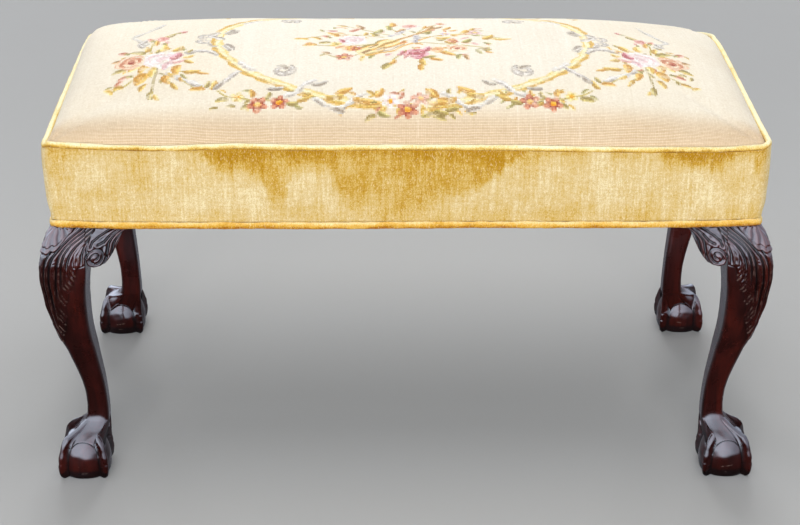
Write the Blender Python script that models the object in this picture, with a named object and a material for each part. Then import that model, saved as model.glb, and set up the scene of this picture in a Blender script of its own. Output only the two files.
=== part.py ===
"""Window bench with a boxed, crowned needlepoint seat on four carved cabriole legs.

Metres, +Z up, floor at z = 0, +X along the bench, -Y the front.
Every physical piece is its own closed solid.
"""
import math

import bmesh
import bpy
import numpy as np

for old in list(bpy.data.objects):
    bpy.data.objects.remove(old, do_unlink=True)

# ---------------------------------------------------------------- overall size
HALF_X = 0.4570          # half length over the top welt
HALF_Y = 0.2310          # half depth over the top welt
GAP = 0.0003             # air left between neighbouring pieces

# ---------------------------------------------------------------- frame
RAIL_OUT = -0.0070       # outer face of rails and posts, from the welt's outer edge
RAIL_THICK = 0.0260
RAIL_BOTTOM = 0.3670
RAIL_TOP = 0.4480
POST_IN = -0.0485        # inner faces of the leg post
TENON_THICK = 0.0100
TENON_Z = (0.3840, 0.4340)
TENON_LONG = 0.0240      # front and back rails
TENON_END = 0.0200       # end rails
BLOCK_Z = (0.3920, 0.4380)
BLOCK_LEG = 0.0632       # length of each glued side of a corner block past the post

# ---------------------------------------------------------------- upholstery
WELT_R = 0.0034
WELT_Z = 0.4718
BOX_Z = (0.3722, 0.4480, 0.4679)
BOX_OUT = (-0.0045, -0.0020, -0.0022)
BOX_THICK = 0.0020
TRIM_Z = 0.36655
TRIM_HALF = (0.0020, 0.00525)     # radial, vertical
CANVAS_Z = (0.4483, 0.4495)
ROLL_Z = (0.4498, 0.4680)
ROLL_OUT, ROLL_IN = -0.0050, -0.0240
COVER_EDGE = -0.0073     # where the needlepoint meets the welt
COVER_Z = 0.4706
COVER_RISE = 0.0640      # height of the crown's middle over its edge
COVER_THICK = 0.0013
CORNER_R = 0.0180        # plan radius of the seat's corners
WEB_W, WEB_T = 0.0500, 0.0014
WEB_Z = 0.3650
WEB_STEP = 0.00085       # over and under height where strips cross
WEB_LONG_Y = (-0.09, 0.0, 0.09)
WEB_CROSS_X = (-0.27, -0.18, -0.09, 0.0, 0.09, 0.18, 0.27)
SPRING_X = (-0.27, -0.09, 0.09, 0.27)
SPRING_Y = (-0.09, 0.09)
WIRE_R = 0.0017
DUST_Z = (0.3623, 0.3631)

# ---------------------------------------------------------------- legs
# height, outer face, inner face, then corner radii: outer arris, side corners, inner
# faces are offsets from the welt's outer edge, the same on both sides of the leg
LEG = (
    (0.4478, -0.0070, -0.0485, 0.0118, 0.0010, 0.0010),
    (0.3668, -0.0072, -0.0485, 0.0118, 0.0010, 0.0010),
    (0.3610, -0.0068, -0.0485, 0.0118, 0.0010, 0.0010),
    (0.3500, 0.0000, -0.0485, 0.0108, 0.0010, 0.0010),
    (0.3390, 0.0046, -0.0485, 0.0095, 0.0010, 0.0010),
    (0.3240, 0.0084, -0.0485, 0.0095, 0.0010, 0.0010),
    (0.3110, 0.0104, -0.0485, 0.0095, 0.0020, 0.0010),
    (0.2940, 0.0108, -0.0474, 0.0095, 0.0050, 0.0030),
    (0.2760, 0.0090, -0.0456, 0.0095, 0.0070, 0.0050),
    (0.2575, 0.0058, -0.0448, 0.0090, 0.0080, 0.0060),
    (0.2380, 0.0014, -0.0448, 0.0085, 0.0080, 0.0060),
    (0.2185, -0.0032, -0.0455, 0.0080, 0.0080, 0.0060),
    (0.1980, -0.0090, -0.0474, 0.0075, 0.0078, 0.0060),
    (0.1820, -0.0142, -0.0495, 0.0072, 0.0075, 0.0060),
    (0.1660, -0.0182, -0.0512, 0.0070, 0.0072, 0.0060),
    (0.1457, -0.0229, -0.0536, 0.0068, 0.0070, 0.0060),
    (0.1253, -0.0268, -0.0558, 0.0066, 0.0068, 0.0060),
    (0.1055, -0.0295, -0.0572, 0.0065, 0.0065, 0.0060),
    (0.0890, -0.0300, -0.0580, 0.0065, 0.0065, 0.0060),
    (0.0780, -0.0290, -0.0584, 0.0070, 0.0070, 0.0065),
)
LEG_FORWARD = 0.0040     # the legs stand this much further out at front and back than at the ends
FOOT_C = -0.0258         # foot centre, from the welt's outer edge at the ends
FOOT_FORWARD = 0.0020    # and this much further out at front and back, besides the leg's own
# height, claw radius on the diagonals, groove beside a claw, ball between the claws,
# and how far the section has moved from the ankle's centre to the foot's
FOOT = (
    (0.0720, 0.0200, 0.0175, 0.0155, 0.10),
    (0.0660, 0.0318, 0.0236, 0.0188, 0.45),
    (0.0590, 0.0392, 0.0276, 0.0228, 0.80),
    (0.0520, 0.0422, 0.0300, 0.0260, 1.00),
    (0.0420, 0.0436, 0.0316, 0.0291, 1.00),
    (0.0310, 0.0442, 0.0325, 0.0311, 1.00),
    (0.0200, 0.0438, 0.0322, 0.0310, 1.00),
    (0.0100, 0.0412, 0.0304, 0.0294, 1.00),
    (0.0040, 0.0378, 0.0284, 0.0272, 1.00),
    (0.0000, 0.0345, 0.0266, 0.0252, 1.00),
)

# ---------------------------------------------------------------- knee brackets
BRACKET_DEPTH = 0.0240
# height, then where the bracket starts and ends along the rail from the post
BRACKET = (
    (0.3667, 0.0003, 0.0640), (0.3610, 0.0003, 0.0560), (0.3550, 0.0003, 0.0475),
    (0.3460, 0.0003, 0.0428), (0.3370, 0.0003, 0.0385), (0.3240, 0.0003, 0.0315),
    (0.3170, 0.0022, 0.0248), (0.3130, 0.0075, 0.0168),
)
BRACKET_LONG = BRACKET[0][2]


# ================================================================ helpers
def add(name, verts, faces):
    """One named closed solid with its faces turned outwards."""
    mesh = bpy.data.meshes.new(name)
    mesh.from_pydata([tuple(float(c) for c in v) for v in verts], [], faces)
    bm = bmesh.new()
    bm.from_mesh(mesh)
    bmesh.ops.recalc_face_normals(bm, faces=bm.faces)
    bm.to_mesh(mesh)
    bm.free()
    ob = bpy.data.objects.new(name, mesh)
    bpy.context.scene.collection.objects.link(ob)
    return ob


def loft(name, rings, caps=True):
    """Closed skin through equal rings, with flat ends or joined end to end."""
    n = len(rings[0])
    verts = [p for ring in rings for p in ring]
    faces = []
    count = len(rings)
    for k in range(count if not caps else count - 1):
        a, b = k * n, ((k + 1) % count) * n
        for i in range(n):
            j = (i + 1) % n
            faces.append((a + i, a + j, b + j, b + i))
    if caps:
        faces.append(tuple(range(n - 1, -1, -1)))
        faces.append(tuple((count - 1) * n + i for i in range(n)))
    return add(name, verts, faces)


def prism(name, outline, z0, z1):
    """Upright prism over a plan outline."""
    return loft(name, [[(x, y, z0) for x, y in outline], [(x, y, z1) for x, y in outline]])


def box(name, x, y, z):
    return prism(name, [(x[0], y[0]), (x[1], y[0]), (x[1], y[1]), (x[0], y[1])], z[0], z[1])


def rod(name, start, end, stations, sides=10):
    """Turned piece along an axis: stations are (fraction of length in metres, radius)."""
    start, end = np.array(start, float), np.array(end, float)
    d = (end - start) / np.linalg.norm(end - start)
    u = np.cross(d, (0, 0, 1.0))
    u /= np.linalg.norm(u)
    v = np.cross(d, u)
    rings = []
    for s, r in stations:
        rings.append([start + d * s + r * (math.cos(t) * u + math.sin(t) * v)
                      for t in (2 * math.pi * (k + 0.5) / sides for k in range(sides))])
    return loft(name, rings)


def cut(ob, cutters):
    """Take the cutters out of a solid."""
    for c in cutters:
        m = ob.modifiers.new("cut", "BOOLEAN")
        m.operation = "DIFFERENCE"
        m.solver = "EXACT"
        m.object = c
    graph = bpy.context.evaluated_depsgraph_get()
    graph.update()
    done = bpy.data.meshes.new_from_object(ob.evaluated_get(graph))
    ob.modifiers.clear()
    ob.data = done
    for c in cutters:
        bpy.data.objects.remove(c, do_unlink=True)
    return ob


def rounded_plan(off, radius, arc=6, long_pts=9, short_pts=5):
    """Points around the seat's plan, inset by off, with rounded corners."""
    hx, hy = HALF_X + off, HALF_Y + off
    r = min(radius, hy - 0.001)
    pts = []
    for cx, cy, a0 in ((hx - r, hy - r, 0), (-hx + r, hy - r, 90),
                       (-hx + r, -hy + r, 180), (hx - r, -hy + r, 270)):
        arc_pts = []
        for k in range(arc):
            t = math.radians(a0 + 90 * k / (arc - 1))
            arc_pts.append((cx + r * math.cos(t), cy + r * math.sin(t)))
        pts.append(arc_pts)
    out = []
    for c in range(4):
        out += pts[c]
        a, b = pts[c][-1], pts[(c + 1) % 4][0]
        m = long_pts if c % 2 == 0 else short_pts
        for k in range(1, m):
            out.append((a[0] + (b[0] - a[0]) * k / m, a[1] + (b[1] - a[1]) * k / m))
    return out


def band(name, section):
    """Endless band around the seat: section is a closed list of (offset, height)."""
    rings = [[(x, y, z) for x, y in rounded_plan(o, CORNER_R + o)] for o, z in section]
    return loft(name, rings, caps=False)


# ================================================================ legs
def rounded_section(o, i, r_out, r_side, r_in, per=5):
    """Leg section as (a, b) offsets, from the outer arris round by the front face."""
    pts = []
    for (ca, cb), (da, db), r, a0 in (
        ((o, o), (-1, -1), r_out, 0),
        ((i, o), (1, -1), r_side, 90),
        ((i, i), (1, 1), r_in, 180),
        ((o, i), (-1, 1), r_side, 270),
    ):
        for k in range(per):
            t = math.radians(a0 + 90 * k / (per - 1))
            pts.append((ca + da * r + r * math.cos(t), cb + db * r + r * math.sin(t)))
    return pts


def foot_section(claw, groove, ball, centre):
    """Ball-and-claw section: a claw on each diagonal and the ball between them."""
    pts = []
    for c in range(4):
        for turn, r in ((-32, ball), (-15, groove), (0, claw), (15, groove), (32, ball)):
            t = math.radians(45 + 90 * c + turn)
            pts.append((centre + r * math.cos(t), centre + r * math.sin(t)))
    return pts


def forward(z):
    """Extra reach of a leg to the front or back at a height."""
    k = min(max((0.3610 - z) / 0.0350, 0.0), 1.0)
    return LEG_FORWARD * k * k * (3 - 2 * k)


def leg(name, sx, sy):
    rings = []
    for z, *section in LEG:
        rings.append([(sx * (HALF_X + a), sy * (HALF_Y + b + forward(z)), z)
                      for a, b in rounded_section(*section)])
    ankle = (LEG[-1][1] + LEG[-1][2]) / 2
    for z, claw, groove, ball, moved in FOOT:
        c = ankle + (FOOT_C - ankle) * moved
        f = forward(z) + FOOT_FORWARD * moved
        rings.append([(sx * (HALF_X + a), sy * (HALF_Y + b + f), z)
                      for a, b in foot_section(claw, groove, ball, c)])
    ob = loft(name, rings)
    # mortises for the two rails
    z = (TENON_Z[0] - GAP, TENON_Z[1] + GAP)
    xo, yo = HALF_X + POST_IN, HALF_Y + POST_IN
    ty = HALF_Y + RAIL_OUT - RAIL_THICK / 2
    tx = HALF_X + RAIL_OUT - RAIL_THICK / 2
    h = TENON_THICK / 2 + GAP
    long_cut = box("cut_long", sorted((sx * (xo - 0.01), sx * (xo + TENON_LONG + 0.0005))),
                   sorted((sy * (ty - h), sy * (ty + h))), z)
    end_cut = box("cut_end", sorted((sx * (tx - h), sx * (tx + h))),
                  sorted((sy * (yo - 0.01), sy * (yo + TENON_END + 0.0005))), z)
    return cut(ob, [long_cut, end_cut])


def outer_face(z):
    """Offset of the leg's outer face at a height."""
    zs = [row[0] for row in LEG][::-1]
    os = [row[1] for row in LEG][::-1]
    return float(np.interp(z, zs, os))


def bracket(name, sx, sy, along_x):
    """Knee bracket glued under a rail and against the post."""
    def place(t, z, off):
        along = (HALF_X if along_x else HALF_Y + forward(z)) + POST_IN - t
        across = (HALF_Y if along_x else HALF_X) + off
        return (sx * along, sy * across, z) if along_x else (sx * across, sy * along, z)

    def front(t, z):
        k = min(max(t / BRACKET_LONG, 0.0), 1.0)
        k = k * k * (3 - 2 * k)
        knee = outer_face(z) + (forward(z) if along_x else 0.0)
        return knee * (1 - k) + (RAIL_OUT - 0.0003) * k

    rings = []
    for z, t0, t1 in BRACKET:
        ts = [t0 + (t1 - t0) * k / 4 for k in range(5)]
        rings.append([place(t, z, front(t, z)) for t in ts]
                     + [place(t, z, RAIL_OUT - BRACKET_DEPTH) for t in ts[::-1]])
    return loft(name, rings)


# ================================================================ frame pieces
def long_rail(name, sy):
    y_out = HALF_Y + RAIL_OUT
    y = sorted((sy * y_out, sy * (y_out - RAIL_THICK)))
    xe = HALF_X + POST_IN - GAP
    xt = HALF_X + POST_IN + TENON_LONG
    ym = sy * (y_out - RAIL_THICK / 2)
    return rail(name, xe, xt, y, ym, True)


def end_rail(name, sx):
    x_out = HALF_X + RAIL_OUT
    x = sorted((sx * x_out, sx * (x_out - RAIL_THICK)))
    ye = HALF_Y + POST_IN - GAP
    yt = HALF_Y + POST_IN + TENON_END
    xm = sx * (x_out - RAIL_THICK / 2)
    return rail(name, ye, yt, x, xm, False)


def rail(name, shoulder, tip, across, mid, along_x):
    """Rail with a tenon on each end, made as rings along its length."""
    h = TENON_THICK / 2
    a0, a1 = across
    z0, z1 = RAIL_BOTTOM, RAIL_TOP
    t0, t1 = TENON_Z
    big = [(a0, z0), (a1, z0), (a1, z1), (a0, z1)]
    small = [(mid - h, t0), (mid + h, t0), (mid + h, t1), (mid - h, t1)]
    rings = []
    for s, sec in ((-tip, small), (-shoulder, small), (-shoulder, big),
                   (shoulder, big), (shoulder, small), (tip, small)):
        rings.append([(s, a, z) if along_x else (a, s, z) for a, z in sec])
    return loft(name, rings)


def corner_block(name, sx, sy):
    xr = HALF_X + RAIL_OUT - RAIL_THICK - GAP      # inner face of the end rail
    yr = HALF_Y + RAIL_OUT - RAIL_THICK - GAP      # inner face of the long rail
    xp, yp = HALF_X + POST_IN - GAP, HALF_Y + POST_IN - GAP
    tail = 0.0157
    pts = [(xp - BLOCK_LEG, yr), (xp, yr), (xp, yp), (xr, yp),
           (xr, yp - BLOCK_LEG + 0.0005), (xr - tail, yp - BLOCK_LEG + 0.0005),
           (xp - BLOCK_LEG, yr - tail)]
    return prism(name, [(sx * x, sy * y) for x, y in pts], *BLOCK_Z)


SCREW_Z = 0.4150
SCREW_LONG_X = 0.3650
SCREW_END_Y = 0.1395


def screw(name, sx, sy, along_y):
    """Round-head wood screw through a corner block into a rail."""
    stations = ((0.0, 0.0030), (0.0008, 0.0044), (0.0034, 0.0044), (0.0034, 0.0021),
                (0.0340, 0.0020), (0.0400, 0.0006))
    if along_y:
        a = (sx * SCREW_LONG_X, sy * 0.1757, SCREW_Z)
        b = (sx * SCREW_LONG_X, sy * 0.2235, SCREW_Z)
    else:
        a = (sx * 0.4018, sy * SCREW_END_Y, SCREW_Z)
        b = (sx * 0.4500, sy * SCREW_END_Y, SCREW_Z)
    return rod(name, a, b, stations)


def screw_cut(sx, sy, along_y):
    """Clearance hole with a sinking for the head."""
    stations = ((0.0, 0.0054), (0.0442, 0.0054), (0.0442, 0.0025), (0.0815, 0.0025))
    if along_y:
        a = (sx * SCREW_LONG_X, sy * 0.1352, SCREW_Z)
        b = (sx * SCREW_LONG_X, sy * 0.2235, SCREW_Z)
    else:
        a = (sx * 0.3613, sy * SCREW_END_Y, SCREW_Z)
        b = (sx * 0.4500, sy * SCREW_END_Y, SCREW_Z)
    return rod("cut_screw", a, b, stations)


# ================================================================ seat support
def strip(name, stations, centre, along_x):
    """Webbing strip: stations are (distance along, height of its middle)."""
    rings = []
    for s, z in stations:
        sec = ((-WEB_W / 2, -WEB_T / 2), (WEB_W / 2, -WEB_T / 2),
               (WEB_W / 2, WEB_T / 2), (-WEB_W / 2, WEB_T / 2))
        rings.append([(s, centre + w, z + t) if along_x else (centre + w, s, z + t)
                      for w, t in sec])
    return loft(name, rings)


def web_stations(crossings, signs, reach):
    """Level over or under each crossing, and up against the rail at both ends."""
    flat = WEB_W / 2 + 0.004
    rows = [(-reach, WEB_Z + WEB_STEP), (-reach + 0.03, WEB_Z + WEB_STEP)]
    for c, s in zip(crossings, signs):
        rows += [(c - flat, WEB_Z + s * WEB_STEP), (c + flat, WEB_Z + s * WEB_STEP)]
    rows += [(reach - 0.03, WEB_Z + WEB_STEP), (reach, WEB_Z + WEB_STEP)]
    return rows


def spring(name, cx, cy):
    """Waisted upholstery coil standing on the webbing."""
    turns, per, sides = 4.5, 11, 4
    z0 = WEB_Z + WEB_STEP + WEB_T / 2 + WIRE_R + 0.0004
    z1 = CANVAS_Z[0] - WIRE_R - 0.0006
    n = int(turns * per) + 1
    path = []
    for k in range(n):
        f = k / (n - 1)
        t = 2 * math.pi * turns * f
        r = 0.0270 + 0.0125 * abs(2 * f - 1) ** 1.6
        path.append(np.array((cx + r * math.cos(t), cy + r * math.sin(t), z0 + (z1 - z0) * f)))
    rings = []
    for k in range(n):
        d = path[min(k + 1, n - 1)] - path[max(k - 1, 0)]
        d /= np.linalg.norm(d)
        out = path[k] - np.array((cx, cy, path[k][2]))
        out -= d * out.dot(d)
        out /= np.linalg.norm(out)
        up = np.cross(d, out)
        rings.append([path[k] + WIRE_R * (math.cos(a) * out + math.sin(a) * up)
                      for a in (2 * math.pi * (s + 0.5) / sides for s in range(sides))])
    return loft(name, rings)


# ================================================================ stuffing and covers
CROWN_INSET = (0.0, 0.0012, 0.0035, 0.0075, 0.0140, 0.0240, 0.0390, 0.0610, 0.0900,
               0.1250, 0.1650, 0.2000, 0.2160)


def crown_ring(d, inset):
    """Ring of the domed crown d in from its edge, on a skin that lies inset below it."""
    plan = rounded_plan(COVER_EDGE - inset - d * 0.99, CORNER_R + COVER_EDGE + 0.75 * d)
    ring = []
    for x, y in plan:
        u = min(abs(x) / (HALF_X + COVER_EDGE - inset), 1.0)
        v = min(abs(y) / (HALF_Y + COVER_EDGE - inset), 1.0)
        rise = (COVER_RISE - inset) * math.sqrt(1 - u ** 6) * (1 - v * v) ** 0.55 if d else 0.0
        ring.append((x, y, COVER_Z + rise))
    return ring


def skin_faces(first, n, count):
    """Triangles between rings, and a strip that closes the innermost ring across."""
    quads = []
    for k in range(count - 1):
        a, b = first + k * n, first + (k + 1) * n
        quads += [(a + i, a + (i + 1) % n, b + (i + 1) % n, b + i) for i in range(n)]
    top = first + (count - 1) * n
    side = n // 2 - 5              # last point of the long side's corner arcs
    low = n - 5
    quads += [(top + k, top + k + 1, top + low - k - 1, top + low - k) for k in range(side)]
    quads.append(tuple(top + k for k in range(side, n // 2 + 1)))
    quads.append(tuple(top + k % n for k in range(low, n + 1)))
    return [(q[0], q[k], q[k + 1]) for q in quads for k in range(1, len(q) - 1)]


def cover(name):
    outer = [crown_ring(d, 0.0) for d in CROWN_INSET]
    inner = [crown_ring(d, COVER_THICK) for d in CROWN_INSET]
    n, count = len(outer[0]), len(CROWN_INSET)
    verts = [p for ring in outer + inner for p in ring]
    faces = skin_faces(0, n, count) + [f[::-1] for f in skin_faces(count * n, n, count)]
    faces += [(i, count * n + i, count * n + (i + 1) % n, (i + 1) % n) for i in range(n)]
    return add(name, verts, faces)


def stuffing(name):
    skin = [crown_ring(d, COVER_THICK + GAP) for d in CROWN_INSET]
    n, count = len(skin[0]), len(CROWN_INSET)
    base = [(x, y, ROLL_Z[1] + GAP) for x, y, _ in skin[0]]
    verts = base + [p for ring in skin for p in ring]
    faces = skin_faces(n, n, count) + [tuple(range(n - 1, -1, -1))]
    faces += [(i, (i + 1) % n, n + (i + 1) % n, n + i) for i in range(n)]
    return add(name, verts, faces)


# ================================================================ build
SIDES = (("front_left", -1, -1), ("front_right", 1, -1),
         ("back_left", -1, 1), ("back_right", 1, 1))

for side, sx, sy in SIDES:
    leg("leg_" + side, sx, sy)
    bracket("knee_bracket_" + side + "_long", sx, sy, True)
    bracket("knee_bracket_" + side + "_end", sx, sy, False)

rails = {
    "front": long_rail("seat_rail_front", -1),
    "back": long_rail("seat_rail_back", 1),
    "left": end_rail("seat_rail_left", -1),
    "right": end_rail("seat_rail_right", 1),
}
holes = {key: [] for key in rails}
for side, sx, sy in SIDES:
    block = corner_block("corner_block_" + side, sx, sy)
    cut(block, [screw_cut(sx, sy, True), screw_cut(sx, sy, False)])
    screw("block_screw_" + side + "_long", sx, sy, True)
    screw("block_screw_" + side + "_end", sx, sy, False)
    holes["front" if sy < 0 else "back"].append(screw_cut(sx, sy, True))
    holes["left" if sx < 0 else "right"].append(screw_cut(sx, sy, False))
for key, ob in rails.items():
    cut(ob, holes[key])

for j, y in enumerate(WEB_LONG_Y):
    signs = [1 if (i + j) % 2 == 0 else -1 for i in range(len(WEB_CROSS_X))]
    strip("webbing_long_%d" % (j + 1),
          web_stations(WEB_CROSS_X, signs, HALF_X + RAIL_OUT - 0.008), y, True)
for i, x in enumerate(WEB_CROSS_X):
    signs = [-1 if (i + j) % 2 == 0 else 1 for j in range(len(WEB_LONG_Y))]
    strip("webbing_cross_%d" % (i + 1),
          web_stations(WEB_LONG_Y, signs, HALF_Y + RAIL_OUT - 0.008), x, False)

number = 0
for y in SPRING_Y:
    for x in SPRING_X:
        number += 1
        spring("coil_spring_%d" % number, x, y)

box("spring_canvas", (-HALF_X - RAIL_OUT + 0.004, HALF_X + RAIL_OUT - 0.004),
    (-HALF_Y - RAIL_OUT + 0.004, HALF_Y + RAIL_OUT - 0.004), CANVAS_Z)

r0, r1 = ROLL_Z
mid = (ROLL_OUT + ROLL_IN) / 2
band("edge_roll", ((ROLL_OUT, r0 + 0.005), (ROLL_OUT, r1 - 0.006), (ROLL_OUT - 0.005, r1),
                   (ROLL_IN + 0.005, r1), (ROLL_IN, r1 - 0.006), (ROLL_IN, r0 + 0.005),
                   (ROLL_IN + 0.004, r0), (ROLL_OUT - 0.004, r0)))
prism("first_stuffing", rounded_plan(ROLL_IN - GAP, 0.010), *ROLL_Z)
stuffing("top_stuffing")
cover("needlepoint_cover")

band("velvet_boxing",
     list(zip(BOX_OUT, BOX_Z)) + [(o - BOX_THICK, z) for o, z in zip(BOX_OUT, BOX_Z)][::-1])


def cord(name, offset, z, half_r, half_z, sides=8):
    band(name, [(offset + half_r * math.cos(a), z + half_z * math.sin(a))
                for a in (2 * math.pi * (k + 0.5) / sides for k in range(sides))])


cord("top_welt", -WELT_R - 0.0001, WELT_Z, WELT_R, WELT_R)
cord("bottom_trim", RAIL_OUT + GAP + TRIM_HALF[0], TRIM_Z, TRIM_HALF[0], TRIM_HALF[1])

# dust cover: plain cloth below the webbing, notched round the legs and brackets
x1, y1 = HALF_X + RAIL_OUT - 0.005, HALF_Y + RAIL_OUT - 0.005
bx = HALF_X + POST_IN - BRACKET_LONG - 0.004
by = HALF_Y + POST_IN - BRACKET_LONG - 0.004
ix = HALF_X + RAIL_OUT - BRACKET_DEPTH - 0.003
iy = HALF_Y + RAIL_OUT - BRACKET_DEPTH - 0.003
px, py = HALF_X + POST_IN - 0.003, HALF_Y + POST_IN - 0.003
corner = [(x1, by), (ix, by), (ix, py), (px, py), (px, iy), (bx, iy), (bx, y1)]
outline = []
for qx, qy, order in ((1, 1, 1), (-1, 1, -1), (-1, -1, 1), (1, -1, -1)):
    outline += [(qx * x, qy * y) for x, y in corner][::order]
prism("dust_cover", outline, *DUST_Z)
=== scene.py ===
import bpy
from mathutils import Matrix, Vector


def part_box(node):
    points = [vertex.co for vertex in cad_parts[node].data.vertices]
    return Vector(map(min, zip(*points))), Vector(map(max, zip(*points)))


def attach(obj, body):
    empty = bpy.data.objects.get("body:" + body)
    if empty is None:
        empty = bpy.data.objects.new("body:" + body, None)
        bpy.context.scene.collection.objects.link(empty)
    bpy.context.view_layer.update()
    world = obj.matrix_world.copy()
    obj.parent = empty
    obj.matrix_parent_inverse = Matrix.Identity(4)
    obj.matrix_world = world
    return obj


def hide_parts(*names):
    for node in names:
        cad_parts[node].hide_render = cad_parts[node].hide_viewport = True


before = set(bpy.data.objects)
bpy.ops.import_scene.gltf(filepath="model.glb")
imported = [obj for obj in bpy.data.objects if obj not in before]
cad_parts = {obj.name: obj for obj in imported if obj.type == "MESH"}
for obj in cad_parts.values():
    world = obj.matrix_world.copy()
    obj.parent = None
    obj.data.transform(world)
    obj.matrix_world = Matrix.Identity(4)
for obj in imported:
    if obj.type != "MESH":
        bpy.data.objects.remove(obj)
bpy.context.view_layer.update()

import math

import bpy
import numpy as np
from mathutils import Matrix, Vector

HALF_X, HALF_Y = 0.4570, 0.2310      # half size over the top welt
CORNER_R = 0.0180
SIDES = (("front_left", -1, -1), ("front_right", 1, -1),
         ("back_left", -1, 1), ("back_right", 1, 1))


# ================================================================ helpers
def ease(a, b, x):
    k = np.clip((np.asarray(x, float) - a) / (b - a), 0.0, 1.0)
    return k * k * (3 - 2 * k)


def mix(a, b, k):
    return a * (1 - k) + b * k


def curve(xs, ys, x):
    """Smooth curve through points, without overshoot."""
    xs, ys = np.asarray(xs, float), np.asarray(ys, float)
    if xs[0] > xs[-1]:
        xs, ys = xs[::-1], ys[::-1]
    h = np.diff(xs)
    d = np.diff(ys) / h
    m = np.zeros(len(xs))
    for i in range(1, len(xs) - 1):
        if d[i - 1] * d[i] > 0:
            m[i] = 2 * d[i - 1] * d[i] / (d[i - 1] + d[i])
    m[0], m[-1] = d[0], d[-1]
    x = np.clip(np.asarray(x, float), xs[0], xs[-1])
    i = np.clip(np.searchsorted(xs, x) - 1, 0, len(h) - 1)
    t = (x - xs[i]) / h[i]
    a = (1 + 2 * t) * (1 - t) ** 2 * ys[i] + t * (1 - t) ** 2 * h[i] * m[i]
    return a + t * t * (3 - 2 * t) * ys[i + 1] + t * t * (t - 1) * h[i] * m[i + 1]


def to_line(px, py, pts):
    """Distance from points to a polyline, and how far along it, 0 to 1."""
    pts = np.asarray(pts, float)
    seg = np.diff(pts, axis=0)
    size = np.hypot(seg[:, 0], seg[:, 1])
    start = np.concatenate([[0], np.cumsum(size)])
    best = np.full(np.shape(px), 1e9)
    along = np.zeros(np.shape(px))
    for k in range(len(seg)):
        t = ((px - pts[k, 0]) * seg[k, 0] + (py - pts[k, 1]) * seg[k, 1]) / max(size[k] ** 2, 1e-12)
        t = np.clip(t, 0, 1)
        d = np.hypot(px - pts[k, 0] - t * seg[k, 0], py - pts[k, 1] - t * seg[k, 1])
        near = d < best
        best = np.where(near, d, best)
        along = np.where(near, (start[k] + t * size[k]) / start[-1], along)
    return best, along


def bell(d, w):
    return np.exp(-(d / w) ** 2)


class Noise:
    """Smooth seeded value noise on a wrapped lattice."""

    def __init__(self, seed, n=64):
        self.n = n
        self.v = np.random.default_rng(seed).random((n, n)) * 2 - 1

    def __call__(self, x, y):
        n = self.n
        x, y = np.asarray(x, float), np.asarray(y, float)
        i, j = np.floor(x).astype(int), np.floor(y).astype(int)
        u, w = x - i, y - j
        u, w = u * u * (3 - 2 * u), w * w * (3 - 2 * w)
        a, b = self.v[i % n, j % n], self.v[(i + 1) % n, j % n]
        c, d = self.v[i % n, (j + 1) % n], self.v[(i + 1) % n, (j + 1) % n]
        return (a * (1 - u) + b * u) * (1 - w) + (c * (1 - u) + d * u) * w


def build(name, verts, faces, mats, which=None, smooth=True):
    """Mesh object from a vertex array and arrays of equal-sided faces."""
    me = bpy.data.meshes.new(name)
    verts = np.asarray(verts, np.float32)
    me.vertices.add(len(verts))
    me.vertices.foreach_set("co", verts.ravel())
    loops = np.concatenate([np.asarray(f, np.int32).ravel() for f in faces])
    sizes = np.concatenate([np.full(len(f), np.shape(f)[1], np.int32) for f in faces])
    me.loops.add(len(loops))
    me.loops.foreach_set("vertex_index", loops)
    me.polygons.add(len(sizes))
    me.polygons.foreach_set("loop_start", np.concatenate([[0], np.cumsum(sizes)[:-1]]).astype(np.int32))
    me.polygons.foreach_set("use_smooth", np.full(len(sizes), smooth))
    for m in mats:
        me.materials.append(m)
    if which is not None:
        me.polygons.foreach_set("material_index", np.asarray(which, np.int32))
    me.update(calc_edges=True)
    me.validate()
    ob = bpy.data.objects.new(name, me)
    bpy.context.scene.collection.objects.link(ob)
    return ob


def grid_faces(rows, cols, wrap_cols=False, wrap_rows=False, first=0):
    r = np.arange(rows if wrap_rows else rows - 1)
    c = np.arange(cols if wrap_cols else cols - 1)
    R, C = np.meshgrid(r, c, indexing="ij")
    a = R * cols + C
    b = R * cols + (C + 1) % cols
    d = ((R + 1) % rows) * cols + C
    e = ((R + 1) % rows) * cols + (C + 1) % cols
    return np.stack([a, b, e, d], -1).reshape(-1, 4) + first


def outward(verts, faces):
    """Turn all faces over if the closed skin's volume is negative."""
    vol = 0.0
    for f in faces:
        p = verts[np.asarray(f)]
        for k in range(1, p.shape[1] - 1):
            vol += np.einsum("ij,ij->i", p[:, 0], np.cross(p[:, k], p[:, k + 1])).sum()
    return faces if vol > 0 else [np.asarray(f)[:, ::-1] for f in faces]


def point_values(ob, name, values):
    a = ob.data.attributes.new(name, "FLOAT", "POINT")
    a.data.foreach_set("value", np.asarray(values, np.float32).ravel())


def place(ob, slot, *nodes):
    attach(ob, "root")
    if nodes:
        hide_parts(*nodes)
    return ob


# ================================================================ materials
def srgb(r, g, b):
    out = []
    for c in (r, g, b):
        c = c / 255
        out.append(c / 12.92 if c <= 0.04045 else ((c + 0.055) / 1.055) ** 2.4)
    return (*out, 1.0)


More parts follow.
